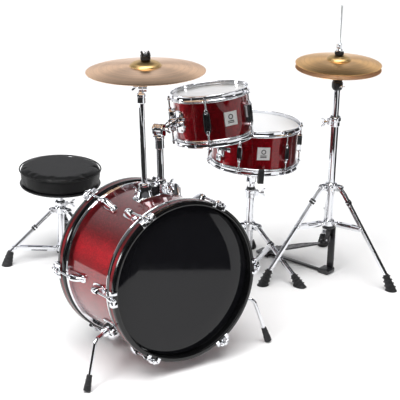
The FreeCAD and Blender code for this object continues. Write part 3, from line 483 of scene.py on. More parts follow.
metal("chrome", (0.80, 0.81, 0.84), 0.04, 0.03)
metal("steel", (0.78, 0.79, 0.81), 0.16, 0.06, 0.02)
metal("badge_metal", (0.84, 0.84, 0.83), 0.48, 0.10, 0.04, 240)
sparkle("wrap", (0.08, 0.0006, 0.002), (0.50, 0.006, 0.016))
sparkle("inlay", (0.06, 0.001, 0.003), (0.34, 0.006, 0.014)).set(Coat_Weight=0.35)
matte("lacquer", rgb(10, 10, 11), 0.13, 0.03, 90, 0.02, 0.2)
matte("rubber", rgb(24, 24, 26), 0.62, 0.1, 160, 0.30)
matte("felt", rgb(26, 25, 26), 0.95, 0.04, 420, 0.9, 0.5)
matte("black_metal", rgb(30, 30, 33), 0.36, 0.08, 300, 0.12, 0.2, 0.3)
matte("black_plastic", rgb(17, 17, 19), 0.30, 0.05, 200, 0.08)
matte("coated", rgb(238, 240, 242), 0.55, 0.08, 700, 0.22, 0.02)
matte("film", rgb(19, 19, 22), 0.05, 0.02, 60, 0.01, 0.1).set(Specular_IOR_Level=0.34)
matte("clear_film", rgb(206, 205, 203), 0.16, 0.04, 30, 0.02, 0.04, 0.8)
matte("batter", rgb(226, 226, 224), 0.32, 0.06, 500, 0.12, 0.02, 0.3)
cymbal_metal("crash_bronze", (0.93, 0.62, 0.40), (0.70, 0.47, 0.20), 0.042, 0.156)
cymbal_metal("hat_bronze", (0.92, 0.55, 0.22), (0.70, 0.46, 0.20), 0.036, 0.127)


def vinyl():
    """Leathercloth: pebbled grain with soft creases."""
    m = Nodes("vinyl").set(Coat_Weight=0.04, Coat_Roughness=0.4, Specular_IOR_Level=0.2)
    cells = m.cells(620, 0, None, "DISTANCE_TO_EDGE")
    grain = m.ramp(cells, (0, 0), (0.18, 1))
    tint = m.noise(18, 3)
    m.to("Base Color", m.ramp(tint, (0.3, rgb(7, 7, 8)), (0.7, rgb(11, 11, 12))))
    m.to("Roughness", m.ramp(grain, (0, 0.52), (1, 0.40)))
    soft = m.noise(34, 2)
    m.bump(m.math("ADD", grain, m.math("MULTIPLY", soft, 3)), 0.22, 0.0004)


vinyl()


# ------------------------------------------------------------------ shared hardware
def wing_bolt(stem=8, size=1):
    """Stands on local Z: threaded stem, hub and two lobes."""
    s = size
    parts = [post(2.6 * s, 0, stem + 3), lathe([(0, stem), (5.6 * s, stem), (4.6 * s, stem + 8 * s),
        (3 * s, stem + 10 * s), (0, stem + 10.4 * s)], 20, False, 0.8)]
    for k in (-1, 1):
        lobe = [(1.5 * s, 1 * s), (5 * s, 1.6 * s), (9 * s, 5 * s), (13 * s, 9 * s), (13.6 * s, 13 * s),
            (10.6 * s, 15 * s), (7.4 * s, 13 * s), (4.6 * s, 8.6 * s), (1.5 * s, 8 * s)]
        lobe = [(k * x, stem + z) for x, z in lobe]
        parts.append(plate(lobe if k > 0 else lobe[::-1], -1.5 * s, 1.5 * s, 0.7 * s, 1.6 * s))
    return joined(*parts)


def rivet(r=3.6, h=1.8):
    return lathe([(0, -0.5), (r, -0.5), (r, 0.2), (r * 0.72, h * 0.8), (0, h)], 16, False, 0.5, 2)


def hex_nut(r, z0, z1):
    return slab([(r * math.cos(math.tau * k / 6), r * math.sin(math.tau * k / 6)) for k in range(6)], z0,
        z1, 0.5)


# ------------------------------------------------------------------ bass drum
def bass_drum():
    ends = (BASS, BASS @ FLIP)
    z0, z1 = HEAD_INSET + 1, BASS_DEPTH - HEAD_INSET - 1
    Piece("bass_shell_wrap", "kit", "wrap", "bass_shell").add(lathe([(BASS_R - BASS_T, z0 + 3),
        (BASS_R - 2.5, z0), (BASS_R, z0 + 1.5), (BASS_R, z1 - 1.5), (BASS_R - 2.5, z1),
        (BASS_R - BASS_T, z1 - 3)], 192), BASS, mat="wrap").done()
    hoops = Piece("bass_wood_hoops", "kit", "hoop_lacquer", "bass_hoops")
    a, b, ri, ro = BASS_DEPTH - HOOP_W, BASS_DEPTH, BASS_R + 2, HOOP_R
    edge = 3.4
    outline = [(ri, a + 1), (ri + 1, a), (ro - edge, a), (ro - 1, a + 1), (ro, a + edge), (ro, a + 12.4),
        (ro - 0.5, a + 12.6), (ro - 0.5, b - 13.2), (ro, b - 13), (ro, b - edge), (ro - 1, b - 1),
        (ro - edge, b), (ri + 2.4, b), (ri + 0.7, b - 0.7), (ri, b - 2.4)]
    hoops.add(lathe(outline, 192), *ends, mat="lacquer")
    hoops.add(lathe([(ro - 1.5, a + 12.7), (ro - 0.3, a + 12.7), (ro - 0.3, b - 13.3),
        (ro - 1.5, b - 13.3)], 192), *ends, mat="inlay")
    down = frame_at((0, BASS_DEPTH * math.cos(BT), 0), (0, 0, 1))
    for x in (-34, 34):
        hoops.add(plate([(x - 15, 0), (x + 15, 0), (x + 13, 4.6 + x * x * 0.0007),
            (x - 13, 4.6 + x * x * 0.0007)], -36, 1, 1), down, mat="rubber")
    hoops.done()
    heads = Piece("bass_drum_heads", "kit", "head_film", "bass_heads")
    z, f, r = BASS_DEPTH - HEAD_INSET, BASS_DEPTH - HOOP_W, BASS_R
    for place, mat in zip(ends, ("film", "batter")):
        heads.add(lathe([(0, z), (r - 60, z), (r - 4, z - 0.1), (r - 0.4, z - 1.4), (r + 1, z - 5),
            (r + 1.2, f + 1), (r + 1.2, f - 9), (r + 0.4, f - 9), (r + 0.3, z - 5.4), (r - 5, z - 1.5),
            (0, z - 0.9)], 192, False), place, mat=mat)
        heads.add(lathe([(0.4, -11), (8.6, -11), (10.6, -9.4), (10.8, -7), (9.4, -5.8), (9.4, -5),
            (10.8, -3.8), (10.8, -1.4), (9.6, -0.4), (0.4, -0.2)], 192, about=(r, f)), place)
    heads.done()
    turns = [turn(60 * k) for k in range(6)]
    places = [e @ t for e in ends for t in turns]
    lug, z = Piece("bass_oval_lugs", "kit", "chrome", "bass_lugs"), BASS_DEPTH - BASS_LUG_Z
    lug.add(bass_lug(), *[p @ move(BASS_R, 0, z) for p in places])
    lug.add(at(pipe(5.6, 3.2, 18.5, 23, 20), move(20.4)), *[p @ move(BASS_R, 0, z) for p in places],
        mat="black_plastic")
    lug.done()
    claw = Piece("bass_claw_hooks", "kit", "chrome", "bass_claws")
    claw.add(bass_claw(), *places)
    claw.done()


def bass_lug():
    """Teardrop casting: broad where the rod goes in, low at its tail. Local X is outward."""
    rows = [(-27, 1.2, 2), (-25.5, 3.4, 4), (-22, 5.4, 8), (-16, 7, 15), (-9, 8, 22), (0, 8.6, 27),
        (9, 8.8, 28.8), (15, 8.4, 28.8), (18.5, 7.2, 27.6), (19.5, 6.2, 26.6)]
    loops = []
    for z, w, top in rows:
        loop = [Vector((-2, -w, z))]
        for k in range(13):
            a = math.pi * k / 12
            loop.append(Vector((top * math.sin(a) ** 0.55, -w * math.copysign(abs(math.cos(a)) ** 0.8,
                math.cos(a)), z)))
        loop.append(Vector((-2, w, z)))
        loops.append(loop)
    base = at(slab(ellipse(31, 11, 28, 3.5, 0, 0.85), -2, 1.6, 0.8), turn(90, "Y"))
    return joined(loft(loops), base)


def bass_claw():
    """Stamped claw: two prongs over the hoop's edge, a bridge, and the T-handled rod between them."""
    z = BASS_DEPTH
    prong = [(HOOP_R - 9, z + 0.5), (HOOP_R + 0.5, z + 0.5), (HOOP_R + 0.5, z - 21), (HOOP_R + 3, z - 21),
        (HOOP_R + 7.6, z - 10), (HOOP_R + 7.8, z + 0.4), (HOOP_R + 5, z + 4), (HOOP_R - 7.6, z + 4.2),
        (HOOP_R - 9, z + 2.8)]
    parts = [plate(prong, k * 16 - 5, k * 16 + 5, 1.2, 1.6) for k in (-1, 1)]
    web = [(HOOP_R + 0.5, z - 19), (HOOP_R + 3.2, z - 19), (HOOP_R + 6, z - 11), (HOOP_R + 6, z - 6),
        (HOOP_R + 0.5, z - 6)]
    parts.append(plate(web, -17.6, 17.6, 0.8, 1.2))
    parts.append(at(lathe([(0, z - 13), (7.4, z - 13), (7.8, z - 4), (6.6, z + 1), (0, z + 1)], 24, False,
        1), move(ROD_RADIAL)))
    parts.append(at(post(3, z - BASS_LUG_Z - 4, z + 6, 16), move(ROD_RADIAL)))
    parts.append(at(lathe([(0, z + 2), (4.4, z + 2), (5, z + 6), (5.6, z + 13), (4.2, z + 13.8),
        (0, z + 14)], 20, False, 0.8), move(ROD_RADIAL)))
    parts.append(sweep([(ROD_RADIAL, -13, z + 8.2), (ROD_RADIAL, -8, z + 9.4), (ROD_RADIAL, 0, z + 9.8),
        (ROD_RADIAL, 8, z + 9.4), (ROD_RADIAL, 13, z + 8.2)], [2.4, 3, 3.6, 3, 2.4], 14))
    return joined(*parts)


def spur_points(side):
    a, out = math.radians(SPUR_ANGLE), 215
    near = BASS @ Vector((out * math.cos(a), out * math.sin(a), SPUR_S))
    near = Vector((-side * near.x, near.y, near.z))
    return near, Vector((side * 249, 39, 130)), Vector((side * 289, 14, 0))


def spurs():
    brackets = Piece("spur_bracket_castings", "kit", "chrome", "spur_brackets")
    for side, name in ((-1, "left"), (1, "right")):
        near, bend, foot = spur_points(side)
        d, leg = (bend - near).normalized(), (foot - bend).normalized()
        on_shell = BASS @ turn(SPUR_ANGLE if side < 0 else 540 - SPUR_ANGLE)
        brackets.add(box(BASS_R - 3, BASS_R + 4, -20, 20, SPUR_S - 26, SPUR_S + 26, 2.4, 3), on_shell)
        brackets.add(box(BASS_R + 1, BASS_R + 20, -12, 12, SPUR_S - 14, SPUR_S + 16, 4, 3), on_shell,
            mat="black_plastic")
        barrel = frame_at(near, d)
        brackets.add(lathe([(SPUR_R + 0.1, -2), (10, -2), (11, 0), (11, 22), (12.6, 23), (12.6, 28),
            (11, 30), (SPUR_R + 0.1, 30)], 32, r=0.8), barrel)
        for y in (-15, 15):
            for z in (-20, 20):
                screw = at(rivet(3.6, 2), facing_out(BASS_R + 4, y, SPUR_S + z))
                brackets.add(screw, on_shell, mat="steel")
        out = Vector((0, 0, 1)).cross(d) * side * -1
        brackets.add(wing_bolt(12, 0.8), frame_at(near + d * 20, out, (0, 0, 1)))
        spur = Piece("spur_%s_rod" % name, "spur_" + name, "chrome", "spur_" + name)
        spur.add(sweep([near - d * 4, bend, foot - leg * 14], SPUR_R, 20, 20, steps=10))
        tip = frame_at(foot - leg * 44, leg)
        tall = 44 - 10 * abs(leg.xy.length)
        spur.add(lathe([(SPUR_R, -2), (6.6, -2), (7.4, 1), (7.8, 10), (8.6, 11.5), (8.4, 14), (8.8, 24),
            (9.8, 25.5), (9.6, 28), (10, tall - 2), (9.4, tall), (0, tall)], 28, False, 0.5), tip,
            mat="rubber")
        spur.done()
    brackets.done()



def top_mount():
    """Twin receiver: domed casting for the crash post, split square one for the tom post."""
    mount = Piece("bass_top_receiver", "kit", "chrome", "bass_mount")
    here = post_frame(0)
    r = BASS_R
    saddle = []
    for x in (-54, -50, -36, -18, 0, 18, 36, 50, 54):
        edge = 16 if abs(x) > 52 else (22 if abs(x) > 48 else 24)
        low = math.sqrt(r * r - x * x) - 0.6
        top = low + (2.2 if abs(x) > 52 else 5.5)
        saddle.append([(x, -edge, low), (x, -edge, top - 1), (x, -edge + 1.5, top), (x, edge - 1.5, top),
            (x, edge, top - 1), (x, edge, low)])
    mount.add(loft(saddle), here)
    rp = CRASH_POST_R + 0.15
    dome = [(rp, 202), (23, 202), (22.4, 207), (19.6, 215), (16.8, 224), (15.6, 231), (15.2, 233.4),
        (16, 235), (15.6, 239), (13, 241), (rp, 241)]
    mount.add(lathe(dome, 48, r=1.2), here @ move(-POST_X))
    for k in (-1, 1):
        mount.add(plate([(-3.2, 203), (3.2, 203), (2.6, 236), (-2.6, 236)], 12.5, 19.5, 1.6),
            here @ move(-POST_X) @ turn(90 + 90 * k + 35))
    mount.add(box(-15, 9, -13, 13, 204, 229, 3, 3), here, mat="black_plastic")
    rt = TOM_POST_R + 0.15
    square = here @ move(POST_X) @ turn(8)
    body = [(17 * math.copysign(abs(math.cos(t)) ** 0.35, math.cos(t)),
        17 * math.copysign(abs(math.sin(t)) ** 0.35,
        math.sin(t))) for t in [math.tau * (k + 0.5) / 32 for k in range(32)]]
    hole = [(rt * math.cos(math.tau * (k + 0.5) / 32),
        rt * math.sin(math.tau * (k + 0.5) / 32)) for k in range(32)]
    for low, high, grow in ((203, 218.6, 1), (219.8, 234, 0.97)):
        mount.add(at(frame_plate([(x * grow, y * grow) for x, y in body], hole, low, high), turn(90, "X")),
            square)
    mount.add(pipe(15, rt, 218, 220.4, 32), square, mat="black_plastic")
    mount.add(lathe([(rt, 233), (13.8, 233), (14.2, 236), (13.6, 242.4), (12.4, 243.4), (rt, 243.4)], 40,
        r=0.8), square)
    mount.add(wing_bolt(9, 1.15), here @ facing_out(POST_X + 15, 0, 222))
    mount.add(wing_bolt(7, 0.85), here @ frame_at((-POST_X - 14, 0, 224), (-1, 0, 0), (0, 0, 1)))
    for x, y in ((-44, 17), (-44, -17), (46, 17), (46, -17)):
        z = math.sqrt(r * r - x * x) + 4.9
        mount.add(rivet(4.4, 2.4), here @ move(x, y, z) @ turn(math.degrees(x / r), "Y"), mat="steel")
    mount.done()


# ------------------------------------------------------------------ cymbals
def cymbal(radius, bell_r, bell_h, bow_h, hole, t=1.2):
    """Hammered and lathed disc, rim at z 0, thin at the rim, with a rounded bell."""
    top = [(radius, -0.2), (radius - 0.5, 0)]
    for k in range(1, 15):
        f = k / 14
        top.append((radius + (bell_r - radius) * f, bow_h * (1 - (1 - f) ** 1.7)))
    for k in range(1, 12):
        a = math.radians(90 * k / 12)
        r = bell_r * (1 - 0.985 * (1 - math.cos(a)))
        if r > hole + 1:
            top.append((r, bow_h + bell_h * math.sin(a) ** 1.15))
    top.append((hole, bow_h + bell_h))
    under = [(max(r - 0.2, hole), z - t) for r, z in reversed(top[1:])]
    under[-1] = (radius - 0.3, -t * 0.8)
    return lathe(top + under, 160)


def crash():
    head = over_drum(-POST_X, 500)
    stand = Piece("crash_post_tube", "crash_post", "chrome", "crash_post")
    here = post_frame(-POST_X)
    stand.add(tube(6.1, 7.5, 120, 470), here)
    stand.add(lathe([(7.4, 456), (10.4, 456), (11, 458), (11, 474), (11.8, 475), (11.8, 480), (10.6, 483),
        (7, 483.4), (7, 470)], 40, r=0.6), here)
    stand.add(lathe([(0, 480), (8, 480), (7.2, 484), (5.2, 488), (5.2, 493), (0, 493)], 28, False, 0.6),
        here)
    teeth = [turn(12 * k) for k in range(30)]
    disc = frame_at(head - SIDE * 5.5, SIDE, (0, 0, 1))
    stand.add(lathe([(0, 0), (12.6, 0), (13.5, 1.2), (13.5, 9.4), (12.4, 10.6), (0, 10.8)], 40, False, 0.5),
        disc)
    stand.add(box(-0.5, 0.5, 12.9, 13.9, 1.6, 9, 0.2, 1), *[disc @ t for t in teeth])
    stand.add(wing_bolt(6, 0.85), frame_at(head - SIDE * 5.5, SIDE * -1, (0, 0, 1)))
    stand.done()
    tilter = Piece("crash_tilter_head", "crash_tilter", "chrome", "crash_tilter")
    other = frame_at(head + SIDE * 6, SIDE, (0, 0, 1))
    tilter.add(lathe([(0, 0), (12.4, 0), (13.5, 1.2), (13.5, 9.4), (12.6, 11), (6, 11.2), (0, 10.2)], 40,
        False, 0.5), other)
    tilter.add(box(-0.5, 0.5, 12.9, 13.9, 1.6, 9, 0.2, 1), *[other @ t for t in teeth])
    tilter.add(post(3, -32, 52, 20), CRASH, mat="steel")
    tilter.add(lathe([(0, -40), (6.4, -38), (8, -32), (6.8, -24), (5.2, -14), (5.4, -6), (7, -4), (7, 11),
        (12.6, 13), (14, 14), (14, 16), (3, 16)], 32, False, 0.8), CRASH)
    tilter.add(lathe([(3.2, 16.1), (12, 16.1), (13, 18), (13, 24.6), (12, 26.2), (3.2, 26.2)], 40, r=1),
        CRASH, mat="felt")
    tilter.add(lathe([(4, 29.5), (12.2, 29.5), (13.2, 31), (13.2, 36), (12.2, 37.6), (4, 37.6)], 40, r=1),
        CRASH, mat="felt")
    tilter.add(lathe([(2.8, 37.8), (12.8, 37.8), (14, 39.4), (13.4, 42.6), (8, 44), (2.8, 44)], 32, r=0.8),
        CRASH, mat="black_plastic")
    for k in range(4):
        lobe = [(5.4, 41), (13.2, 40.6), (15.4, 48), (14.2, 50.6), (11.2, 50.2), (7.8, 45)]
        tilter.add(plate(lobe, -1.5, 1.5, 0.6, 1.2), CRASH @ turn(90 * k + 20), mat="black_plastic")
    tilter.done()
    Piece("crash_cymbal_disc", "crash_cymbal", "cymbal", "crash_cymbal").add(cymbal(156, 42, 15, 14, 5),
        CRASH, mat="crash_bronze").done(50, CRASH)


# ------------------------------------------------------------------ tom and snare
def hoop_parts(piece, r, angles, places):
    """Triple-flanged steel counterhoops with an ear at each rod."""
    prof = [(r + 3.4, -0.8), (r + 4.2, 0), (r + 5.8, -0.2), (r + 6.4, -1.2), (r + 5.8, -2.2), (r + 5, -2.8),
        (r + 4.7, -4.6), (r + 4.7, -10.6), (r + 5.4, -12.6), (r + 7.6, -13.5), (r + 9, -13.9),
        (r + 9.2, -14.7), (r + 8.2, -15.2), (r + 5.2, -14.9), (r + 3.2, -13.6), (r + 2.6, -15),
        (r + 1.9, -14.4), (r + 3.1, -12.2), (r + 3.3, -9), (r + 3.3, -3)]
    ear = [(r + 6.5, -11), (r + 13, -9), (r + 17, -5), (r + 17, 5), (r + 13, 9), (r + 6.5, 11)]
    for place, turns in zip(places, angles):
        piece.add(lathe(prof, 160, r=0.5, steps=2), place)
        for a in turns:
            piece.add(slab(ear, -15.9, -13.4, 0.7, 2), place @ turn(a))


def head_parts(piece, r, places, mats):
    for place, mat in zip(places, mats):
        piece.add(lathe([(0, -8.6), (r - 20, -8.6), (r - 2, -8.6), (r + 0.6, -9.4), (r + 1.5, -11),
            (r + 1.6, -15.2), (r + 1.6, -17), (r + 0.3, -17), (r + 0.3, -10.4), (r - 3, -9.6), (0, -9.6)],
            128, False), place, mat=mat)
        piece.add(lathe([(r + 0.2, -21), (r + 4.8, -21), (r + 6, -19.6), (r + 6, -17), (r + 4.8, -15.5),
            (r + 0.2, -15.5)], 128, r=0.8, steps=2), place, mat="steel")


def bridge_lug(piece, r, h, half, places):
    """Bridge lug: chromed frame round a dark window, rod receivers at both ends."""
    m = -h / 2
    w = 1 if r < 110 else 0.84
    edge = [(5.4, m - half), (9, m - half + 7), (10, m), (9, m + half - 7), (5.4, m + half)]
    outer = soften([Vector((x * w, z)) for x, z in edge] + [Vector((-x * w, z)) for x, z in edge[::-1]],
        2.4, 3)
    inner = [(p.x * 0.72, m + (p.y - m) * 0.86) for p in outer]
    face = at(frame_plate([(p.x, p.y) for p in outer], inner, 0, 4.2), frame_at((r + 15.6, 0, 0), (0, 0, 1),
        (0, 1, 0)))
    back = at(frame_plate([(p.x, p.y) for p in outer], [(p.x * 0.8, m + (p.y - m) * 0.9) for p in outer], 0,
        16), frame_at((r + 13, 0, 0), (0, 0, 1), (0, 1, 0)))
    # A black plate fills each window, so the window looks dark.
    well = at(plate([(p.x * 0.84, m + (p.y - m) * 0.92) for p in outer], 3, 16, 0),
        frame_at((r + 14, 0, 0), (0, 0, 1), (0, 1, 0)))
    piece.add(face, *places)
    piece.add(back, *places)
    piece.add(well, *places, mat="black_plastic")
    for k in (-1, 1):
        e = m + k * half
        tip = [(0, e - k * 8), (4.9, e - k * 8), (5.2, e - k * 2), (4.6, e + k * 3), (3.2, e + k * 4),
            (0, e + k * 4)]
        piece.add(at(lathe(tip, 20, False, 0.5), move(r + 12)), *places)
        end = -12 if k > 0 else -h + 12
        z0, z1 = sorted((e - k * 2, end))
        piece.add(at(post(2.5, z0, z1, 14), move(r + 12)), *places, mat="steel")
        z0, z1 = sorted((end - k * 1.6, end + k * 0.4))
        piece.add(at(post(5.4, z0, z1, 20), move(r + 12)), *places)
        z0, z1 = sorted((end, end + k * 7.2))
        piece.add(box(r + 9.2, r + 14.8, -2.8, 2.8, z0, z1, 0.7), *places)


def badge(piece, place, size=12):
    """Plain square nameplate: raised border, brushed field, an empty ring and two bars."""
    s = size
    rim = [(s, s), (-s, s), (-s, -s), (s, -s)]
    inner = [(x * 0.88, z * 0.88) for x, z in rim]
    piece.add(frame_plate(rim, inner, -1.9, 2.6), place, mat="badge_metal")
    piece.add(box(-s * 0.9, s * 0.9, -1.2, 2.6, -s * 0.9, s * 0.9, 0.2, 1), place, mat="badge_metal")
    ring = at(lathe([(s * 0.26, 0), (s * 0.38, 0), (s * 0.38, 0.8), (s * 0.26, 0.8)], 32), turn(90, "X"))
    piece.add(ring, place @ move(0, -1, s * 0.28), mat="black_plastic")
    for z in (-0.34, -0.58):
        piece.add(box(-s * 0.5, s * 0.5, -1.7, -1, s * (z - 0.06), s * (z + 0.06), 0.1, 1), place,
            mat="black_plastic")


def drum(name, body, pl, r, h, lugs, lug0, half, top_mat):
    angles = [lug0 + 360 / lugs * k for k in range(lugs)]
    flip = move(0, 0, -h) @ turn(180, "X")
    ends = (pl, pl @ flip)
    shell = Piece(name + "_shell_wrap", body, "wrap", name + "_shell")
    shell.add(lathe([(r - 5.5, -h + 12), (r - 2.2, -h + 9.9), (r, -h + 11.4), (r, -11.4), (r - 2.2, -9.9),
        (r - 5.5, -12)], 160), pl, mat="wrap")
    shell.done()
    extras = Piece(name + "_nameplate", body, "chrome")
    a = math.radians(lug0 + 180 / lugs)
    out = Vector((math.cos(a), math.sin(a), 0))
    spot = frame_at(out * (r + 0.6) + Vector((0, 0, -h * 0.5)), (0, 0, 1), Vector((0, 0, 1)).cross(out))
    badge(extras, pl @ spot, 18.8)
    vent = out.copy()
    vent.rotate(Matrix.Rotation(math.radians(150), 3, "Z"))
    extras.add(lathe([(2.4, -1), (5.4, -1), (5.4, 0.9), (4.2, 1.6), (2.4, 1)], 24, r=0.4),
        pl @ frame_at(vent * r + Vector((0, 0, -h * 0.5)), vent, (0, 0, 1)))
    extras.done()
    hoops = Piece(name + "_flanged_hoops", body, "chrome", name + "_hoops")
    hoop_parts(hoops, r, (angles, [-x for x in angles]), ends)
    hoops.done()
    heads = Piece(name + "_drum_heads", body, "head_coated", name + "_heads")
    head_parts(heads, r, ends, (top_mat, "clear_film"))
    heads.done()
    lugs = Piece(name + "_bridge_lugs", body, "chrome", name + "_lugs")
    bridge_lug(lugs, r, h, half, [pl @ turn(x) for x in angles])
    lugs.done()


# ------------------------------------------------------------------ tom holder
BALL = over_drum(POST_X, 380)
TOM_A = math.radians(TOM_ARM_ANGLE)
TOM_END = TOM @ Vector(((TOM_R + 19) * math.cos(TOM_A), (TOM_R + 19) * math.sin(TOM_A), -TOM_H / 2 - 2))
ARM = (TOM_END - BALL).normalized()
ARM_SIDE = BASS_UP.cross(ARM).normalized()


def ratchet_disc(y0, y1, r, teeth_at):
    """Disc on local Z with a ring of fine teeth between the two given heights."""
    disc = lathe([(0, y0), (r - 1.6, y0), (r - 0.4, y0 + 1), (r - 0.4, y1 - 1), (r - 1.6, y1), (0, y1)], 40,
        False)
    lo, hi = teeth_at
    teeth = [at(box(-0.5, 0.5, r - 1, r, lo, hi, 0.2, 1), turn(12 * k)) for k in range(30)]
    return joined(disc, *teeth)


def tom_holder():
    holder = Piece("tom_post_tube", "tom_post", "chrome", "tom_post")
    here = post_frame(POST_X)
    holder.add(tube(8, 9.5, 120, 340), here)
    holder.add(lathe([(9.4, 326.6), (11.8, 326.6), (12.5, 328), (12.5, 352), (13.2, 353), (13.2, 358),
        (11, 361.4), (0, 362)], 40, False, 0.7), here)
    pl = frame_at(BALL, BASS_UP, ARM_SIDE)
    holder.add(box(-14.5, 14.5, -12, 12, -20.5, -15.5, 2, 3), pl)
    for k in (-1, 1):
        x0, x1 = sorted((k * 9.6, k * 14.4))
        cheek = [(-12, -19), (12, -19), (13.6, -6), (13.8, 3), (9.8, 9.8), (0, 13.8), (-9.8, 9.8),
            (-13.8, 3), (-13.6, -6)]
        holder.add(at(plate(cheek, x0, x1, 1.2, 3), turn(-90)), pl)
    holder.add(bar((-15.6, 0, 0), (16.8, 0, 0), 4.4), pl, mat="steel")
    holder.add(at(hex_nut(6.4, 14, 18.4), turn(90, "Y")), pl, mat="steel")
    holder.add(wing_bolt(5, 0.9), frame_at(BALL + ARM_SIDE * -14, ARM_SIDE * -1, (0, 0, 1)))
    holder.done()
    tom_arm()
    tom_bracket()


def tom_arm():
    arm = Piece("tom_arm_rod", "tom_arm", "chrome", "tom_arm")
    barrel = frame_at(BALL, ARM_SIDE, ARM)
    arm.add(ratchet_disc(-9, 9, 13.4, (-8.4, -3.2)), barrel)
    arm.add(lathe([(12.9, 3.2), (13.6, 3.8), (13.6, 7.6), (12.9, 8.4)], 40), barrel)
    along = frame_at(BALL, ARM)
    reach = (TOM_END - BALL).length
    arm.add(lathe([(0, 5), (8.8, 11), (8.4, 17), (7, 23), (6.3, 24), (6.3, reach + 10.8), (5.4, reach + 12),
        (0, reach + 12)], 32, False, 0.8), along)
    arm.add(tube(6.2, 8.6, reach - 40, reach - 31, 32, 0.8), along, mat="steel")
    arm.done()


def tom_bracket():
    bracket = Piece("tom_bracket_casting", "tom", "chrome", "tom_bracket")
    out = (TOM.to_3x3() @ Vector((math.cos(TOM_A), math.sin(TOM_A), 0))).normalized()
    up = (TOM.to_3x3() @ Vector((0, 0, 1))).normalized()
    pl = frame_at(TOM_END, up, out)
    rows = []
    for z, w, d in ((-31, 12, -17.2), (-29, 18, -15.2), (-22, 22, -14.4), (0, 23.5, -14), (22, 22, -14.4),
            (29, 18, -15.2), (31, 12, -17.2)):
        rows.append([Vector((-21.5 - abs(y) ** 2 / 210, y, z)) for y in (-w, -w * 0.5, 0, w * 0.5,
            w)] + [Vector((d - abs(y) ** 2 / 210, y, z)) for y in (w, w * 0.5, 0, -w * 0.5, -w)])
    bracket.add(loft(rows), pl)
    bracket.add(box(-17, -3, -12, 12, -13, 13, 3, 3), pl)
    boss = frame_at(TOM_END, ARM)
    bracket.add(lathe([(6.5, -15), (11.6, -15), (13.4, -13), (13.4, -3.6), (12.6, -3.2), (12.6, -1.6),
        (13.4, -1.2), (13.4, 8), (11.8, 10), (6.5, 10)], 40, r=0.8), boss)
    across = up.cross(ARM).normalized()
    bracket.add(wing_bolt(10, 1), frame_at(TOM_END + across * -11, across * -1, (0, 0, 1)))
    bracket.add(hex_nut(6.2, 11.5, 16), frame_at(TOM_END, across, (0, 0, 1)), mat="steel")
    for y in (-14, 14):
        for z in (-23, 23):
            bracket.add(rivet(4, 2.6), pl @ facing_out(-14.9 - y * y / 210, y, z), mat="steel")
    bracket.done()


# ------------------------------------------------------------------ snare fittings
def snare_fittings():
    r, h = SNARE_R, SNARE_H
    piece = Piece("snare_strainer_and_wires", "snare", "chrome", "snare_wires")
    for a, w in ((STRAINER_ANGLE, 15), (BUTT_ANGLE, 11)):
        spot = SNARE @ turn(a)
        piece.add(box(r - 1, r + 3.6, -w, w, -96, -48, 1.6, 3), spot)
        loops = []
        for k in range(9):
            t = k / 8
            z = -92 + 36 * t if a == STRAINER_ANGLE else -99 + 52 * t
            swell = math.sin(math.pi * (0.12 + 0.76 * t)) ** 0.6
            half = (w - 4.6) * (0.72 + 0.28 * swell)
            top = 3 + (7.4 if a == STRAINER_ANGLE else 9.4) * swell
            loops.append([Vector((r + x, y, z)) for x, y in ((2, -half), (top * 0.8, -half * 0.98),
                (top, -half * 0.7), (top + 0.6, 0), (top, half * 0.7), (top * 0.8, half * 0.98),
                (2, half))])
        piece.add(loft(loops), spot)
        piece.add(box(r + 6, r + 10.4, -w + 5, w - 5, -108, -90, 1.2), spot, mat="steel")
        piece.add(at(slab(ellipse(3.4, 3.4, 16), 0, 2.2, 0.5), facing_out(r + 9.6, 0, -100)), spot)
        for z in (-51.5, -94 if a != STRAINER_ANGLE else -93.5):
            for y in (-w + 3.6, w - 3.6):
                piece.add(rivet(2.4, 1.6), spot @ facing_out(r + 3.6, y, z + 2), mat="steel")
    snare_wires(piece, r, -h + 6.6)
    piece.done()
    throw_off_lever(r)


def snare_wires(piece, r, z):
    """Twelve coiled wires under the lower head, with their end plates and straps."""
    wires = SNARE @ turn(BUTT_ANGLE)
    turns, length = 34, 180
    for k in range(12):
        y = -19.2 + k * 3.5
        coil = []
        for i in range(turns * 6 + 1):
            a = math.tau * i / 6
            coil.append((-length / 2 + length * i / (turns * 6), y + 1.05 * math.cos(a),
                z + 1.05 * math.sin(a)))
        piece.add(sweep(coil, 0.35, 4), wires, mat="steel")
    for x in (-95, 95):
        piece.add(box(x - 6, x + 6, -22, 22, z - 1, z + 1.4, 0.5), wires, mat="steel")
    for k, a in ((-1, BUTT_ANGLE + 180), (1, BUTT_ANGLE)):
        for y in (-8, 8):
            strap = [(k * 100, y, z), (k * (r - 5), y, z - 1), (k * (r + 3), y, z + 3)]
            piece.add(sweep(strap, 0.9, 8, 4), wires, mat="black_plastic")


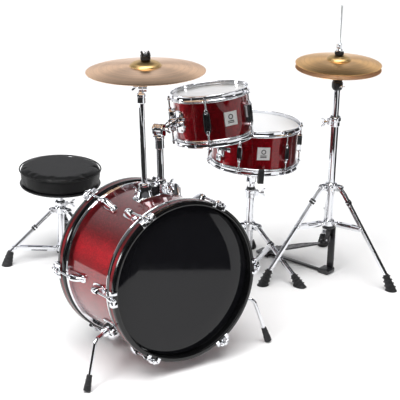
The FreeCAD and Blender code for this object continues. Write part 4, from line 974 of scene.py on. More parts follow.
def throw_off_lever(r):
    """Bowed lever hinged on the strainer, with a grooved thumb pad at its end."""
    lever = Piece("snare_throw_off_lever", "strainer_lever", "chrome", "strainer_lever")
    loops = []
    for k in range(12):
        a = math.radians(20 * k / 11)
        ro, ri = r + 18.6, r + 15.2
        low, high = -68 - 1.4 * k / 11, -60 + 1.4 * k / 11
        c, s = math.cos(a), math.sin(a)
        loops.append([(ri * c, ri * s, low + 0.8), (ri * c, ri * s, high - 0.8),
            ((ri + 1) * c, (ri + 1) * s, high), ((ro - 1) * c, (ro - 1) * s, high),
            (ro * c, ro * s, high - 1), (ro * c, ro * s, low + 1), ((ro - 1) * c, (ro - 1) * s, low),
            ((ri + 1) * c, (ri + 1) * s, low)])
    spot = SNARE @ turn(STRAINER_ANGLE)
    lever.add(loft(loops), spot)
    lever.add(box(r + 14.2, r + 20.3, -8, 2, -71, -57, 1.8, 3), spot @ turn(20))
    for z in (-68.4, -65.4, -62.4, -59.4):
        lever.add(box(r + 20, r + 20.6, -7, 1, z - 0.5, z + 0.5, 0.2, 1), spot @ turn(20))
    lever.add(at(post(5, -70, -58, 24, 1), move(r + 17, 2)), spot)
    lever.done()


def snare_holder():
    here = move(*SNARE_AXIS)
    top = Piece("snare_tilter_tube", "snare_upper", "chrome", "snare_upper")
    top.add(tube(7.9, 9.5, 190, 288), here)
    top.add(tube(9.4, 12.5, 272.4, 279, 40, 0.8), here, mat="black_plastic")
    top.add(lathe([(9.4, 279.4), (11.8, 279.4), (12.4, 281), (12.4, 292), (11, 296), (0, 296.4)], 40, False,
        0.8), here)
    for k in (-1, 1):
        y0, y1 = sorted((k * 6.9, k * 10.9))
        top.add(plate([(-11, 291), (11, 291), (11, 312), (7.8, 319.8), (0, 323), (-7.8, 319.8), (-11, 312)],
            y0, y1, 0.9, 2), here)
    top.add(bar((0, -12.4, SNARE_PIVOT_Z), (0, 12.4, SNARE_PIVOT_Z), 4), here, mat="steel")
    top.add(at(hex_nut(6, 10.8, 14.6), turn(-90, "X")), here @ move(0, 0, SNARE_PIVOT_Z), mat="steel")
    top.done()
    z = -SNARE_H - 12
    low = SNARE.inverted() @ Vector((*SNARE_AXIS, SNARE_PIVOT_Z))
    basket = Piece("snare_basket_arms", "snare", "chrome", "snare_basket")
    hub = SNARE @ move(low.x, low.y)
    basket.add(lathe([(0, z - 9), (14, z - 9), (17, z - 7), (17, z - 2), (15, z), (0, z)], 40, False, 0.8),
        hub)
    basket.add(plate([(-8, z - 4), (8, z - 4), (9.4, low.z), (6.7, low.z - 6.7), (0, low.z - 9.5),
        (-6.7, low.z - 6.7), (-9.4, low.z)], -5.8, 5.8, 0.9, 1.6), hub)
    for a in TIP_ANGLES:
        arm = SNARE @ turn(a)
        basket.add(box(2, SNARE_R + 12, -5.6, 5.6, z - 5, z - 1, 0.9), arm)
        basket.add(box(SNARE_R + 10, SNARE_R + 13.6, -4.8, 4.8, z - 5, z + 23, 0.9), arm)
        basket.add(rivet(3.4, 1.8), arm @ move(20, 0, z - 1), mat="steel")
        grip = [(SNARE_R - 4, z - 9), (SNARE_R + 10, z - 9), (SNARE_R + 16.4, z - 7), (SNARE_R + 18, z + 2),
            (SNARE_R + 17.2, z + 30), (SNARE_R + 14.6, z + 36), (SNARE_R + 10.2, z + 36),
            (SNARE_R + 9.9, z + 12), (SNARE_R + 6, z + 11.6), (SNARE_R - 4, z + 11)]
        basket.add(plate(grip, -8, 8, 1.6, 2.2, 3), arm, mat="rubber")
        for dz in (2, 8, 14, 20, 26):
            basket.add(box(SNARE_R + 16.8, SNARE_R + 18.4, -6.4, 6.4, z + dz - 0.9, z + dz + 0.9, 0.6), arm,
                mat="rubber")
    basket.done()


# ------------------------------------------------------------------ tripods
LEG_W = 14
SNARE_LEG = dict(top=(31, 152.5), low=(30, 41.5), knee=(81, 107.5), cap=(165, 31.5), foot=(191, 0))
HIHAT_LEG = dict(top=(31, 286), low=(27, 169.5), knee=(111.5, 171), cap=(202.5, 46), foot=(224, 0))
THRONE_LEG = dict(top=(29, 157), low=(23, 29), knee=(153.5, 54.3), cap=(166, 44), foot=(179, 0))


def channel(points, width, depth, wall, side=1):
    """U-channel along points in local XZ, mitred at the bends; its open side faces down when side is 1."""
    points = [Vector((x, 0, z)) for x, z in points]
    w, h = width / 2, depth / 2
    shape = [(-w, -h), (-w, h - 1.6), (-w + 0.5, h - 0.5), (-w + 1.6, h), (w - 1.6, h), (w - 0.5, h - 0.5),
        (w, h - 1.6), (w, -h), (w - wall, -h), (w - wall, h - wall), (-w + wall, h - wall), (-w + wall, -h)]
    runs = [(q - p).normalized() for p, q in zip(points, points[1:])]
    rings = []
    for k, e in enumerate(points):
        d = (runs[max(k - 1, 0)] + runs[min(k, len(runs) - 1)]).normalized()
        up = Vector((-d.z, 0, d.x)) * side / d.dot(runs[max(k - 1, 0)])
        rings.append([e + Vector((0, y, 0)) + up * z for y, z in shape])
    return loft(rings)


def rubber_foot(spec, ribs=4, slim=False):
    """Ribbed crutch tip on the end of a leg, cut flat by the floor."""
    cap, foot = Vector((spec["cap"][0], 0, spec["cap"][1])), Vector((spec["foot"][0], 0, spec["foot"][1]))
    d, length = (foot - cap).normalized(), (foot - cap).length + 12
    outline = [(7.2, -1.5), (8.8, 0), (9, 3)]
    step = (length - 13) / ribs
    for k in range(ribs):
        z, r = 4 + k * step, 9.4 + k * 1.6
        if slim:
            outline += [(r + 1, z), (r + 1.7, z + step * 0.3), (r + 1.7, z + step * 0.62),
                (r + 1, z + step * 0.8)]
        else:
            outline += [(r - 0.4, z), (r + 2.9, z + 1.2), (r + 3.3, z + 2.4), (r + 3, z + 3.6),
                (r + 0.4, z + 4.6)]
    outline += [(15.6, length - 7), (16.6, length - 4), (16.6, length)]
    verts, faces = lathe([(0, -1.5)] + outline + [(0, length)], 32, False)
    m = frame_at(cap, d, (0, 1, 0))
    out = []
    for v in verts:
        p = m @ v
        if p.z < 0:
            back = p.z / d.z
            p = p - d * back if abs(back) < 40 else p
            p.z = max(p.z, 0)
        out.append(p)
    return out, faces


def leg_piece(name, k, spec, place, bent, bumper):
    top, cap = spec["top"], spec["cap"]
    leg = Piece("%s_leg_bar_%d" % (name, k), "%s_leg_%d" % (name, k), "chrome", "%s_leg_%d" % (name, k))
    w = LEG_W / 2
    run = [top, (top[0] + 16, top[1] - 17), cap] if bent else [top, cap]
    leg.add(channel(run, LEG_W, 8.4, 1.8), place)
    start = Vector((run[-2][0], 0, run[-2][1]))
    d = Vector((cap[0], 0, cap[1])) - start
    n = d.length
    d.normalize()
    leg.add(bar((top[0], -w, top[1]), (top[0], w, top[1]), 6.9, 24, 0.8), place)
    slim = name == "throne"          # this leg folds right in between the cheeks of its brace
    proud, edge = (0.3, 0.2) if slim else (1.5, 0.9)
    for f in (0.14, bumper, 0.97):
        p = start + d * (n * f)
        leg.add(bar((p.x, -w - proud, p.z), (p.x, w + proud, p.z), 2.6, 16, edge), place, mat="steel")
    leg.add(channel([(cap[0] - d.x * 3, cap[1] - d.z * 3), (cap[0] + 7, cap[1] - 9)], LEG_W - 1, 8.2, 1.8),
        place)
    at_bumper = start + d * (n * bumper)
    ring = place @ frame_at(at_bumper - d * 7, d, (0, 1, 0))
    half, under, edge = (w + 0.2, 4.3, 0.8) if slim else (w + 1.4, 5.2, 1.2)
    leg.add(box(-half, half, -under, 5.6, 0, 14, edge), ring, mat="black_plastic")
    half, under, edge = (w + 0.35, 4.45, 0.6) if slim else (w + 1.7, 5.4, 0.8)
    leg.add(box(-half, half, -under, 5.8, 4.6, 8.6, edge), ring)
    leg.add(rubber_foot(spec, 4, slim), place, mat="rubber")
    leg.done()


def brace_piece(name, k, spec, place, web_side):
    """Pressed-steel brace: two cheeks either side of the leg, joined by a web, riveted at both ends."""
    low, knee = spec["low"], spec["knee"]
    gap, thick = LEG_W / 2 + 0.4, 2
    p, q = Vector((low[0], 0, low[1])), Vector((knee[0], 0, knee[1]))
    d, n = (q - p).normalized(), (q - p).length
    up = Vector((-d.z, 0, d.x))
    piece = Piece("%s_brace_bar_%d" % (name, k), "%s_brace_%d" % (name, k), "chrome",
        "%s_brace_%d" % (name, k))
    for side in (-1, 1):
        outline = []
        for centre, start in ((q, -90), (p, 90)):
            for i in range(9):
                a = math.radians(start + 180 * i / 8)
                v = centre + d * 5.8 * math.cos(a) + up * 5.8 * math.sin(a)
                outline.append((v.x, v.z))
            if centre is q:
                for f in (0.72, 0.2):
                    v = p + d * n * f + up * 6.4
                    outline.append((v.x, v.z))
        for f in (0.2, 0.72):
            v = p + d * n * f - up * 6.4
            outline.append((v.x, v.z))
        y0, y1 = sorted((side * gap, side * (gap + thick)))
        piece.add(plate(outline, y0, y1, 0.5), place)
        for c in (p, q):
            head = frame_at(c + Vector((0, side * (gap + thick), 0)), (0, side, 0), (0, 0, 1))
            piece.add(rivet(3.6, 2), place @ head, mat="steel")
    a, b = p + d * n * 0.2 + up * web_side * 6, p + d * n * 0.6 + up * web_side * 6
    width = 2 * gap + 2 * thick
    piece.add(channel([(e.x - up.x * web_side * 2, e.z - up.z * web_side * 2) for e in (a, b)], width, 5.6,
        1.9, web_side), place)
    piece.done()


def tripod(name, spec, foot0, axis, bent, web_side=1, bumper=0.3):
    for k in range(3):
        place = radial(axis, foot0 + 120 * k)
        leg_piece(name, k + 1, spec, place, bent, bumper)
        brace_piece(name, k + 1, spec, place, web_side)


def lug_outline(x, z, h, inner_r):
    """From the tube out to a blunt nose round the pivot at x, z."""
    return [(inner_r - 1, z - h), (x, z - h), (x + h * 0.7, z - h * 0.7), (x + h, z),
        (x + h * 0.7, z + h * 0.7), (x, z + h), (inner_r - 1, z + h)]


def ears(piece, pivot, inner_r, angles, axis, z_half=8):
    """Cast ears either side of each leg, with the pin through them."""
    for a in angles:
        place = radial(axis, a)
        x, z = pivot
        for k in (-1, 1):
            y0, y1 = sorted((k * (LEG_W / 2 + 0.4), k * (LEG_W / 2 + 3.4)))
            piece.add(plate(lug_outline(x, z, z_half, inner_r), y0, y1, 0.8, 1.6), place)
        piece.add(bar((x, -LEG_W / 2 - 4.6, z), (x, LEG_W / 2 + 4.6, z), 2.5, 16), place, mat="steel")
        for k in (-1, 1):
            piece.add(rivet(3.6, 1.8), place @ frame_at((x, k * (LEG_W / 2 + 3.4), z), (0, k, 0),
                (0, 0, 1)), mat="steel")


def tongues(piece, pivot, inner_r, angles, axis, r=5.8):
    """Cast tongues that the braces' cheeks straddle, with their pins."""
    for a in angles:
        x, z = pivot
        place = radial(axis, a)
        piece.add(plate(lug_outline(x, z, r, inner_r), -LEG_W / 2, LEG_W / 2, 0.8, 1.4), place)
        piece.add(bar((x, -LEG_W / 2 - 3.6, z), (x, LEG_W / 2 + 3.6, z), 2.5, 16), place, mat="steel")


def feet(foot0):
    return [foot0 + 120 * k for k in range(3)]


def hub_piece(name, spec, foot0, axis, wing=None):
    z = spec["top"][1]
    hub = Piece(name + "_casting", name, "chrome", name)
    hub.add(lathe([(0.1, -13), (5, -13), (6.8, -11), (7, 9), (5.4, 12), (3, 13), (0.1, 13)], 48, r=1,
        about=(TUBE_R, z)), move(*axis))
    ears(hub, spec["top"], TUBE_R + 5, feet(foot0), axis)
    if wing is not None:
        bolt = facing_out(TUBE_R + 4, 0, z + 6)
        hub.add(wing_bolt(9), radial(axis, wing) @ bolt)
    hub.done()


def clamp(piece, z0, z1, angle, axis):
    """Split die-cast collar at the top of an outer tube, with its wing bolt."""
    piece.add(lathe([(INNER_R + 0.1, z0), (TUBE_R + 1.8, z0), (TUBE_R + 3, z0 + 2), (TUBE_R + 3, z1 - 15),
        (TUBE_R + 6, z1 - 12), (TUBE_R + 6, z1 - 3), (TUBE_R + 4, z1), (INNER_R + 0.1, z1)], 48, r=0.8),
        move(*axis))
    place = radial(axis, angle)
    for k in (-1, 1):
        y0, y1 = sorted((k * 1, k * 6.6))
        piece.add(box(TUBE_R + 1, TUBE_R + 12.6, y0, y1, z0 + 6, z1 - 5, 1.4), place)
    middle = (z0 + z1) / 2
    piece.add(wing_bolt(8, 1.05), place @ facing_out(TUBE_R + 11, 0, middle))
    piece.add(tube(INNER_R + 0.1, TUBE_R + 2.6, z1 - 1, z1, 40, 0.3), move(*axis), mat="black_plastic")


def tube_piece(name, node, spec, foot0, axis, ends, collar, collar_angle):
    """Outer tube, its clamp, and the fixed lower hub with three tongues."""
    z = spec["low"][1]
    piece = Piece(name, "kit", "chrome", node)
    piece.add(pipe(TUBE_R, TUBE_R - 1.6, *ends, r=0.4, steps=3), move(*axis))
    piece.add(lathe([(-0.5, -10), (3.6, -10), (5, -8), (5, 7), (3.4, 10), (-0.5, 10)], 48, r=1,
        about=(TUBE_R, z)), move(*axis))
    tongues(piece, spec["low"], TUBE_R + 3, feet(foot0), axis)
    clamp(piece, collar[0], collar[1], collar_angle, axis)
    return piece


# ------------------------------------------------------------------ hi-hat
def hihat():
    here, ax = move(*HIHAT_AXIS), HIHAT_AXIS
    place, z = radial(ax, PEDAL_ANGLE), HAT_PIVOT.z
    top = here @ move(0, 0, z)
    Piece("hihat_top_disc", "hihat_cymbal_top", "cymbal", "hihat_cymbal_top").add(cymbal(127, 36, 14, 13,
        4.6), top, mat="hat_bronze").done(50, top)
    under = here @ move(0, 0, z - HAT_GAP) @ turn(180, "X")
    Piece("hihat_bottom_disc", "hihat_cymbal_bottom", "cymbal", "hihat_cymbal_bottom").add(cymbal(127, 36,
        14, 13, 4.6), under, mat="hat_bronze").done(50, under)
    hihat_upper(here, z - HAT_GAP - 27)
    pull_rod(place)
    clutch_parts(here, z + 27)
    base = tube_piece("hihat_stand_tube", "hihat_base", HIHAT_LEG, HIHAT_FOOT0, ax, (157.5, 480),
        (478, 508), 170)
    pedal_frame(base, place)
    base.done()
    footboard(place)
    hub_piece("hihat_hub", HIHAT_LEG, HIHAT_FOOT0, ax, 235)
    tripod("hihat", HIHAT_LEG, HIHAT_FOOT0, ax, True, bumper=0.10)


def hihat_upper(here, bell):
    """Inner tube and the ribbed cup that carries the lower cymbal, whose bell is at this height."""
    upper = Piece("hihat_inner_tube", "hihat_upper", "chrome", "hihat_upper")
    upper.add(tube(7.7, 9.5, 380, bell - 32), here)
    upper.add(lathe([(4.2, -38), (12.6, -38), (14.4, -35), (16, -31), (16, -15), (12.4, -11), (4.2, -11)],
        40, r=1, about=(0, bell)), here, mat="black_plastic")
    for k in range(18):
        upper.add(box(15.4, 16.4, -0.8, 0.8, bell - 30, bell - 16, 0.3, 1), here @ turn(20 * k),
            mat="black_plastic")
    upper.add(lathe([(3.7, bell - 11), (4.2, bell - 11), (4.2, bell + 6), (3.7, bell + 6)], 24), here,
        mat="steel")
    upper.add(lathe([(4.3, -10.9), (13.4, -10.9), (14.4, -9), (14.4, -4), (13.4, -2.3), (4.3, -2.3)], 40,
        r=0.8, about=(0, bell)), here, mat="felt")
    upper.add(wing_bolt(4, 0.7), here @ turn(-95) @ frame_at((15, 0, bell - 23), (1, 0, 0), (0, 1, 0)),
        mat="steel")
    upper.done()


def pull_rod(place):
    rod = Piece("hihat_pull_rod", "hihat_rod", "black_metal", "hihat_rod")
    rod.add(lathe([(0, 126), (3.2, 126), (3.2, 730), (3, 731), (3, 844), (2.2, 845), (0, 845)], 20, False),
        place, mat="steel")
    rod.add(lathe([(0, 122), (5.4, 122), (6.5, 124), (6.5, 140), (5, 146), (0, 146)], 28, False, 0.8),
        place, mat="black_metal")
    rod.add(plate([(-6.6, 104), (6.6, 104), (9, 110), (9, 126), (-9, 126), (-9, 110)], -4, 4, 1, 2), place,
        mat="black_metal")
    rod.add(bar((0, -5.2, 110), (0, 5.2, 110), 2.6, 16), place, mat="steel")
    rod.done()


def clutch_parts(here, bell):
    clutch = Piece("hihat_clutch_parts", "hihat_rod", "chrome", "hihat_clutch")
    clutch.add(lathe([(3.25, -13), (7.6, -13), (8.5, -12), (8.5, -10), (7.6, -9), (3.25, -9)], 28, r=0.4,
        about=(0, bell)), here)
    clutch.add(lathe([(3.25, bell - 9), (4.2, bell - 9), (4.2, bell + 12), (3.25, bell + 12)], 24), here,
        mat="steel")
    clutch.add(lathe([(3.25, 10), (9.2, 10), (10, 11), (10, 15), (8.4, 16.4), (7, 17.4), (7, 32.6),
        (5.8, 34), (3.25, 34)], 32, r=0.6, about=(0, bell)), here)
    clutch.add(lathe([(4.3, -8.8), (12, -8.8), (12.9, -7), (12.9, -5), (12, -3), (4.3, -3)], 40, r=0.8,
        about=(0, bell)), here, mat="felt")
    clutch.add(lathe([(4.3, 0.7), (12.4, 0.7), (13.5, 2.4), (13.5, 8), (12.4, 9.8), (4.3, 9.8)], 40, r=0.8,
        about=(0, bell)), here, mat="felt")
    clutch.add(wing_bolt(3, 0.9), here @ turn(-150) @ facing_out(6, 0, bell + 26))
    clutch.done()


def pedal_frame(base, place):
    """Black bent-steel frame below the tube: strap, base block, strut and heel plate."""
    low = HIHAT_LEG["low"][1]
    base.add(box(-16, 6, -19, -13, 10, low - 10, 1), place, mat="black_metal")
    base.add(lathe([(8.2, low - 18), (14, low - 18), (15.4, low - 16), (15.4, low - 12.2),
        (8.2, low - 12.2)], 40, r=0.8), place, mat="black_metal")
    base.add(slab([(-16, -19), (4, -19), (16, -8), (16, 10), (8, 17), (-8, 17), (-16, 8)], low - 18.4,
        low - 14, 0.8, 3), place, mat="black_metal")
    base.add(plate([(-18, 3), (20, 3), (22, 6), (20, 14), (10, 16), (-14, 16), (-18, 12)], -22, 14, 1.4,
        2.4), place, mat="black_metal")
    base.add(box(6, 222, -7, 7, 3, 7, 1), place, mat="black_metal")
    for x in (-12, -4):
        base.add(at(joined(hex_nut(5.4, 0, 4), post(3, 0, 6.4, 14)), frame_at((x, -22, 9.6), (0, -1, 0),
            (0, 0, 1))), place)
    base.add(slab([(206, -24), (210, -27), (236, -27), (256, -18), (256, 18), (236, 27), (210, 27),
        (206, 24)], 1.5, 7.6, 1), place, mat="black_metal")
    for k in (-1, 1):
        y0, y1 = sorted((k * 27.2, k * 31))
        base.add(plate([(200, 3), (214, 3), (214, 17), (210.5, 23), (203.5, 23), (200, 17)], y0, y1, 0.8,
            1.6), place, mat="black_metal")
        nut = frame_at((207, k * 31, 17), (0, k, 0), (0, 0, 1))
        base.add(hex_nut(4.6, 0, 3.4), place @ nut, mat="steel")
    base.add(bar((207, -30, 17), (207, 30, 17), 2.9, 16), place, mat="steel")
    for x in range(6):
        for y in range(5):
            base.add(box(-1.3, 1.3, -1.3, 1.3, 0, 0.9, 0.3, 1), place @ move(217 + x * 6.6, -16 + y * 8,
                7.4) @ turn(45), mat="black_metal")
    base.add(box(210, 248, -18, 18, 0.1, 1.6, 0.5), place, mat="rubber")
    base.add(box(-14, 18, -18, 12, 0.1, 3.2, 0.8), place, mat="rubber")


def footboard(place):
    """Cast board with a raised diamond tread, hinged at the heel."""
    heel, toe = Vector((207, 0, 17)), Vector((12, 0, 93))
    d = toe - heel
    n = d.length
    pl = place @ frame_at(heel, Vector((0, 1, 0)).cross(d), d)
    board = Piece("hihat_footboard_plate", "hihat_footboard", "black_metal", "hihat_footboard")
    half = [(-4, 26), (20, 26.6), (60, 28.4), (95, 29.4), (120, 27.4), (145, 21), (n - 30, 13), (n - 10, 8),
        (n, 6.6)]
    outline = half + [(x, -y) for x, y in reversed(half)]
    board.add(slab([(x, y) for x, y in outline], 1.2, 4.6, 0.8, 3), pl, mat="black_metal")
    rim = [Vector((x, y, 4.4)) for x, y in half] + [Vector((x, -y, 4.4)) for x, y in reversed(half)]
    inset = [Vector((p.x, p.y * 0.93, p.z + 0.2)) for p in rim]
    board.add(sweep(inset + [inset[0]], 1.1, 8, 3, steps=3), pl, mat="black_metal")
    step = 9
    for i in range(1, 19):
        x = 6 + i * step
        wide = 25 if x < 120 else max(5, 25 - (x - 120) * 0.27)
        count = int(wide // 6)
        for j in range(-count, count + 1):
            if (i + j) % 2:
                continue
            board.add(box(-3, 3, -0.9, 0.9, 0, 1.5, 0.5, 1), pl @ move(x, j * 5.8,
                4.3) @ turn(40 if i // 2 % 2 else -40), mat="black_metal")
    board.add(bar((0, -26.2, 0), (0, 26.2, 0), 4.8, 24), pl, mat="black_metal")
    board.add(box(n - 10, n - 4.2, -4.8, 4.8, 3, 15, 1), pl, mat="black_metal")
    board.done()


# ------------------------------------------------------------------ throne
def throne():
    ax, spec = THRONE_AXIS, THRONE_LEG
    here = move(*ax)
    z = spec["top"][1]
    base = Piece("throne_outer_tube", "kit", "chrome", "throne_base")
    base.add(tube(TUBE_R - 1.6, TUBE_R, 14, 170, 48), here)
    base.add(lathe([(TUBE_R - 0.5, 13), (TUBE_R + 1, 13), (TUBE_R + 1, 18), (0, 18), (0, 14)], 40), here,
        mat="black_plastic")
    base.add(lathe([(-0.5, -10), (5.6, -10), (7, -8), (7, 8), (5, 12), (-0.5, 12)], 48, r=1,
        about=(TUBE_R, z)), here)
    ears(base, spec["top"], TUBE_R + 5, feet(THRONE_FOOT0), ax, 7.5)
    clamp(base, 165, 186, -20, ax)
    base.done()
    z = spec["low"][1]
    collar = Piece("throne_sliding_collar", "throne_collar", "chrome", "throne_collar")
    collar.add(lathe([(0.1, -9), (3, -9), (4, -7), (4, 7), (3, 9), (0.1, 9)], 48, r=0.8, about=(TUBE_R, z)),
        here)
    tongues(collar, spec["low"], TUBE_R + 2, feet(THRONE_FOOT0), ax, 5.4)
    collar.done()
    column = Piece("throne_inner_tube", "throne_post", "chrome", "throne_post")
    column.add(lathe([(7.7, 60), (9.5, 60), (9.5, 234.5), (8.6, 236), (0, 236)], 40, False, 0.4), here)
    column.done()
    tripod("throne", spec, THRONE_FOOT0, ax, False, -1, bumper=0.42)
    seat(here)


def seat(here):
    z, r, thick = SEAT_Z, SEAT_R, SEAT_THICK
    fittings = Piece("throne_seat_board", "throne_seat", "vinyl", "throne_seat")
    fittings.add(lathe([(0, z), (r - 7, z), (r - 5, z + 1), (r - 5, z + 7), (0, z + 7)], 96, False, 0.6),
        here, mat="black_plastic")
    fittings.add(lathe([(9.6, -22), (12.4, -22), (13, -20.6), (13, -5), (16, -2.6), (44, -2.4), (46, -1.6),
        (46, 0), (9.6, 0)], 48, r=0.6, about=(0, z)), here, mat="steel")
    for k in range(4):
        fittings.add(at(hex_nut(4.4, -2.6, 0), move(36)), here @ turn(45 + 90 * k) @ move(0, 0, z - 1.8),
            mat="steel")
    fittings.add(wing_bolt(6, 0.8), here @ facing_out(12, 0, z - 13))
    for k in range(28):
        fittings.add(box(-3.4, 3.4, -0.5, 0.5, -0.9, 0, 0.3, 1),
            here @ turn(360 / 28 * k + 4) @ move(r - 14, 0, z) @ turn(90), mat="steel")
    fittings.done()
    pad = cushion(here, z, r, thick)
    piping = Piece("throne_seat_piping", "throne_seat", "vinyl")
    piping.add(ring_cord(r - 2.4, z + thick - 8.6, 2.1), here, mat="vinyl")
    piping.add(ring_cord(r - 4.2, z + 5.6, 1.6), here, mat="vinyl")
    piping.done()


def ring_cord(r, z, thick):
    return lathe([(r + thick * math.cos(math.tau * k / 12),
        z + thick * math.sin(math.tau * k / 12)) for k in range(12)], 160)


def cushion(here, z, r, thick):
    """Round upholstered pad: a foam drum swelled by a short cloth simulation, its seams pulled in."""
    bottom, top = z + 5, z + thick - 3
    rr = r - 5
    prof = [(0, bottom)] + [(rr * f, bottom) for f in (0.25, 0.5, 0.75, 0.94)]
    prof += [(rr, bottom + 2.5)] + [(rr, bottom + 2.5 + (top - 9 - bottom) * f) for f in (0.2, 0.4, 0.6,
        0.8, 1)]
    prof += [(rr, top - 3.4), (rr - 3, top - 0.6)] + [(rr * f, top) for f in (0.93, 0.8, 0.62, 0.44, 0.26)]
    prof += [(0, top)]
    verts, faces = at(lathe(prof, 72, False), here)
    mesh = bpy.data.meshes.new("throne_seat_pad")
    mesh.from_pydata([v * 0.001 + SHIFT for v in verts], [], faces)
    pad = placed("throne_seat_pad", mesh)
    centre = Vector((THRONE_AXIS[0], THRONE_AXIS[1], 0)) * 0.001 + SHIFT
    remesh = pad.modifiers.new("remesh", "REMESH")
    remesh.mode, remesh.voxel_size = "VOXEL", 0.005
    bake(pad)
    rest = [v.co.copy() for v in pad.data.vertices]
    swell(pad)
    shape_pad(pad, rest, centre, z * 0.001, r * 0.001, thick * 0.001)
    sub = pad.modifiers.new("sub", "SUBSURF")
    sub.levels = sub.render_levels = 1
    bake(pad)
    pad.data.polygons.foreach_set("use_smooth", [True] * len(pad.data.polygons))
    pad.data.materials.clear()
    pad.data.materials.append(MAT["vinyl"])
    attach(pad, "throne_seat")
    return pad


def bake(obj):
    """Applies the object's modifiers to its mesh."""
    dg = bpy.context.evaluated_depsgraph_get()
    mesh = bpy.data.meshes.new_from_object(obj.evaluated_get(dg))
    old, obj.data = obj.data, mesh
    obj.modifiers.clear()
    mesh.name = obj.name
    bpy.data.meshes.remove(old)


def swell(pad):
    """Cloth under pressure, no gravity, for twenty frames."""
    cloth = pad.modifiers.new("cloth", "CLOTH")
    s = cloth.settings
    s.quality, s.mass = 6, 0.3
    s.tension_stiffness = s.compression_stiffness = 30
    s.shear_stiffness, s.bending_stiffness = 12, 3
    s.use_pressure, s.uniform_pressure_force = True, 4
    s.effector_weights.gravity = 0
    cloth.point_cache.frame_start, cloth.point_cache.frame_end = 1, 20
    scene.frame_start, scene.frame_end = 1, 20
    for f in range(1, 21):
        scene.frame_set(f)
    bake(pad)
    scene.frame_set(1)


def shape_pad(pad, rest, centre, z, r, thick):
    """Caps how far the cloth has moved, holds the board side flat and pulls the two seams in."""
    for v, home in zip(pad.data.vertices, rest):
        d = v.co - home
        if d.length > 0.006:
            d *= 0.006 / d.length
        p = home + d
        flat = Vector((p.x - centre.x, p.y - centre.y))
        rad, ang = flat.length, math.atan2(flat.y, flat.x)
        h = (p.z - z) / thick
        seam = math.exp(-((h - 0.865) / 0.035) ** 2) if rad > r * 0.8 else 0
        side = max(0, min(1, (rad / r - 0.86) / 0.08))
        wave = (math.sin(ang * 9 + 0.6) + 0.6 * math.sin(ang * 17 + 2.1)) * 0.00045 * side * (1 - h)
        rad += -0.0020 * seam * side + wave - 0.0022 * side * (1 - h)
        rad = min(rad, r)
        if h < 0.12:
            p.z = max(p.z, z + 0.0055)
        p.z = min(p.z, z + thick)
        v.co = Vector((centre.x + rad * math.cos(ang), centre.y + rad * math.sin(ang), p.z))


# ------------------------------------------------------------------ studio
AZIMUTH, ELEVATION, ROLL = -33.913, 20.866, 1.682        # degrees
EYE, LENS = (-1909.2, -2892.9, 1802.8), 130.6926
SENSOR = 36


def camera():
    a, e, roll = math.radians(AZIMUTH), math.radians(ELEVATION), math.radians(ROLL)
    back = Vector((math.sin(a) * math.cos(e), -math.cos(a) * math.cos(e), math.sin(e)))
    right = Vector((math.cos(a), math.sin(a), 0))
    up = back.cross(right)
    r = right * math.cos(roll) + up * math.sin(roll)
    u = up * math.cos(roll) - right * math.sin(roll)
    data = bpy.data.cameras.new("camera")
    data.sensor_width, data.lens = SENSOR, LENS
    data.clip_end = 100
    cam = placed("camera", data)
    cam.matrix_world = Matrix(((r.x, u.x, back.x, 0), (r.y, u.y, back.y, 0), (r.z, u.z, back.z, 0),
        (0, 0, 0, 1)))
    cam.location = Vector(EYE) * 0.001 + SHIFT
    scene.camera = cam


def area(name, place, target, size, power):
    data = bpy.data.lights.new(name, "AREA")
    data.shape, data.energy = "RECTANGLE", power
    data.size, data.size_y = size
    lamp = placed(name, data)
    lamp.location = place
    lamp.rotation_mode = "QUATERNION"
    lamp.rotation_quaternion = (Vector(target) - Vector(place)).to_track_quat("-Z", "Y")
    return lamp


def sky():
    world = bpy.data.worlds.new("studio")
    scene.world = world
    world.use_nodes = True
    t = Tree(world.node_tree)
    way = t.node("TexCoord", out="Generated")
    xyz = t.node("SeparateXYZ", {0: way}).node.outputs
    front = t.node("VectorMath", {0: way, 1: (-0.558, -0.83, 0)}, "Value", operation="DOT_PRODUCT")

    def pale(*stops):
        return t.ramp(xyz[2], *[(pos, (c, c, c * 1.03)) for pos, c in stops])

    bright = pale((0, 0.95), (0.46, 0.88), (0.52, 0.05), (0.78, 0.05), (0.9, 0.55), (1, 0.6))
    dim = pale((0, 0.35), (0.48, 0.26), (0.54, 0.04), (0.78, 0.05), (0.9, 0.55), (1, 0.6))
    left = t.node("Math", {0: xyz[0], 1: -3, 2: -0.3}, operation="MULTIPLY_ADD")
    wall = t.mix(left, bright, dim)
    room = pale((0, 0.02), (0.30, 0.02), (0.36, 0.12), (0.46, 0.12), (0.52, 0.03), (0.8, 0.05),
        (0.92, 0.55))
    side = t.node("Math", {0: front, 1: 4, 2: 2.4}, operation="MULTIPLY_ADD")
    t.tree.links.new(t.mix(side, wall, room), t.tree.nodes["Background"].inputs[0])


def flag(name, plan, height):
    mesh = bpy.data.meshes.new(name)
    verts = [Vector((x, y, z)) + SHIFT for x, y in plan for z in (0, height)]
    mesh.from_pydata(verts, [], [(2 * k, 2 * k + 2, 2 * k + 3, 2 * k + 1) for k in range(len(plan) - 1)])
    mesh.materials.append(MAT["flag_cloth"])
    card = placed(name, mesh)
    card.visible_camera = card.visible_diffuse = card.visible_shadow = False


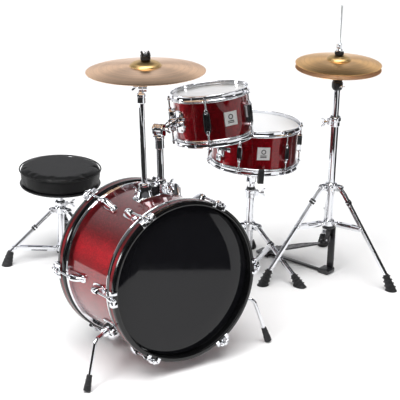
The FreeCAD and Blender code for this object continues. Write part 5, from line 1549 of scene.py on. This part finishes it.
def studio():
    m = Nodes("floor_paint").set(Roughness=0.9, Specular_IOR_Level=0.1)
    m.to("Base Color", m.ramp(m.noise(3), (0.3, 0.93), (0.7, 0.95)))
    bpy.ops.mesh.primitive_plane_add(size=60, location=(0, 0, -0.0005))
    floor = bpy.context.object
    floor.name = "floor"
    floor.data.materials.append(MAT["floor_paint"])
    sky()
    cloth = Nodes("flag_cloth").set(Roughness=1, Specular_IOR_Level=0)
    cloth.to("Base Color", cloth.ramp(cloth.noise(8), (0.3, 0.03), (0.7, 0.04)))
    flag("flag_left", [(-1.15, 0.9), (-1.2, 0.2), (-1.05, -0.45), (-0.64, -0.86), (-0.2, -1.15),
        (0.3, -1.23)], 0.6)
    flag("flag_right", [(0.3, -1.23), (0.72, -0.74)], 0.42)
    flag("flag_side", [(1.15, -0.55), (1.4, 0.1), (1.3, 0.7)], 0.5)
    flag("flag_back", [(-1.15, 0.9), (-0.75, 1.5)], 0.45)
    sun = bpy.data.lights.new("overhead", "SUN")
    sun.energy, sun.angle = 2.75, math.radians(50)
    lamp = placed("overhead", sun)
    lamp.rotation_euler = (math.radians(14), math.radians(-10), 0)
    area("key", (-2, -1, 1.9), (0, 0, 0.4), (0.6, 1.2), 22)
    area("glow", (-2.3, 1.5, 0.7), (0, 0, 0.5), (0.5, 1), 25)
    area("fill", (2.4, -2.6, 1.9), (0, 0, 0.4), (0.5, 1.6), 8)
    scene.view_settings.view_transform = "Standard"


camera()
studio()
bass_drum()
spurs()
top_mount()
crash()
drum("tom", "tom", TOM, TOM_R, TOM_H, 5, TOM_LUG0, 31, "clear_film")
drum("snare", "snare", SNARE, SNARE_R, SNARE_H, 6, SNARE_LUG0, 25, "coated")

tom_holder()
snare_fittings()
snare_holder()
tube_piece("snare_stand_outer_tube", "snare_stand_tube", SNARE_LEG, SNARE_FOOT0, SNARE_AXIS, (26, 245),
    (243, 272), -25).done()
hub_piece("snare_stand_hub", SNARE_LEG, SNARE_FOOT0, SNARE_AXIS)
tripod("snare_stand", SNARE_LEG, SNARE_FOOT0, SNARE_AXIS, False, bumper=0.36)
hihat()
throne()
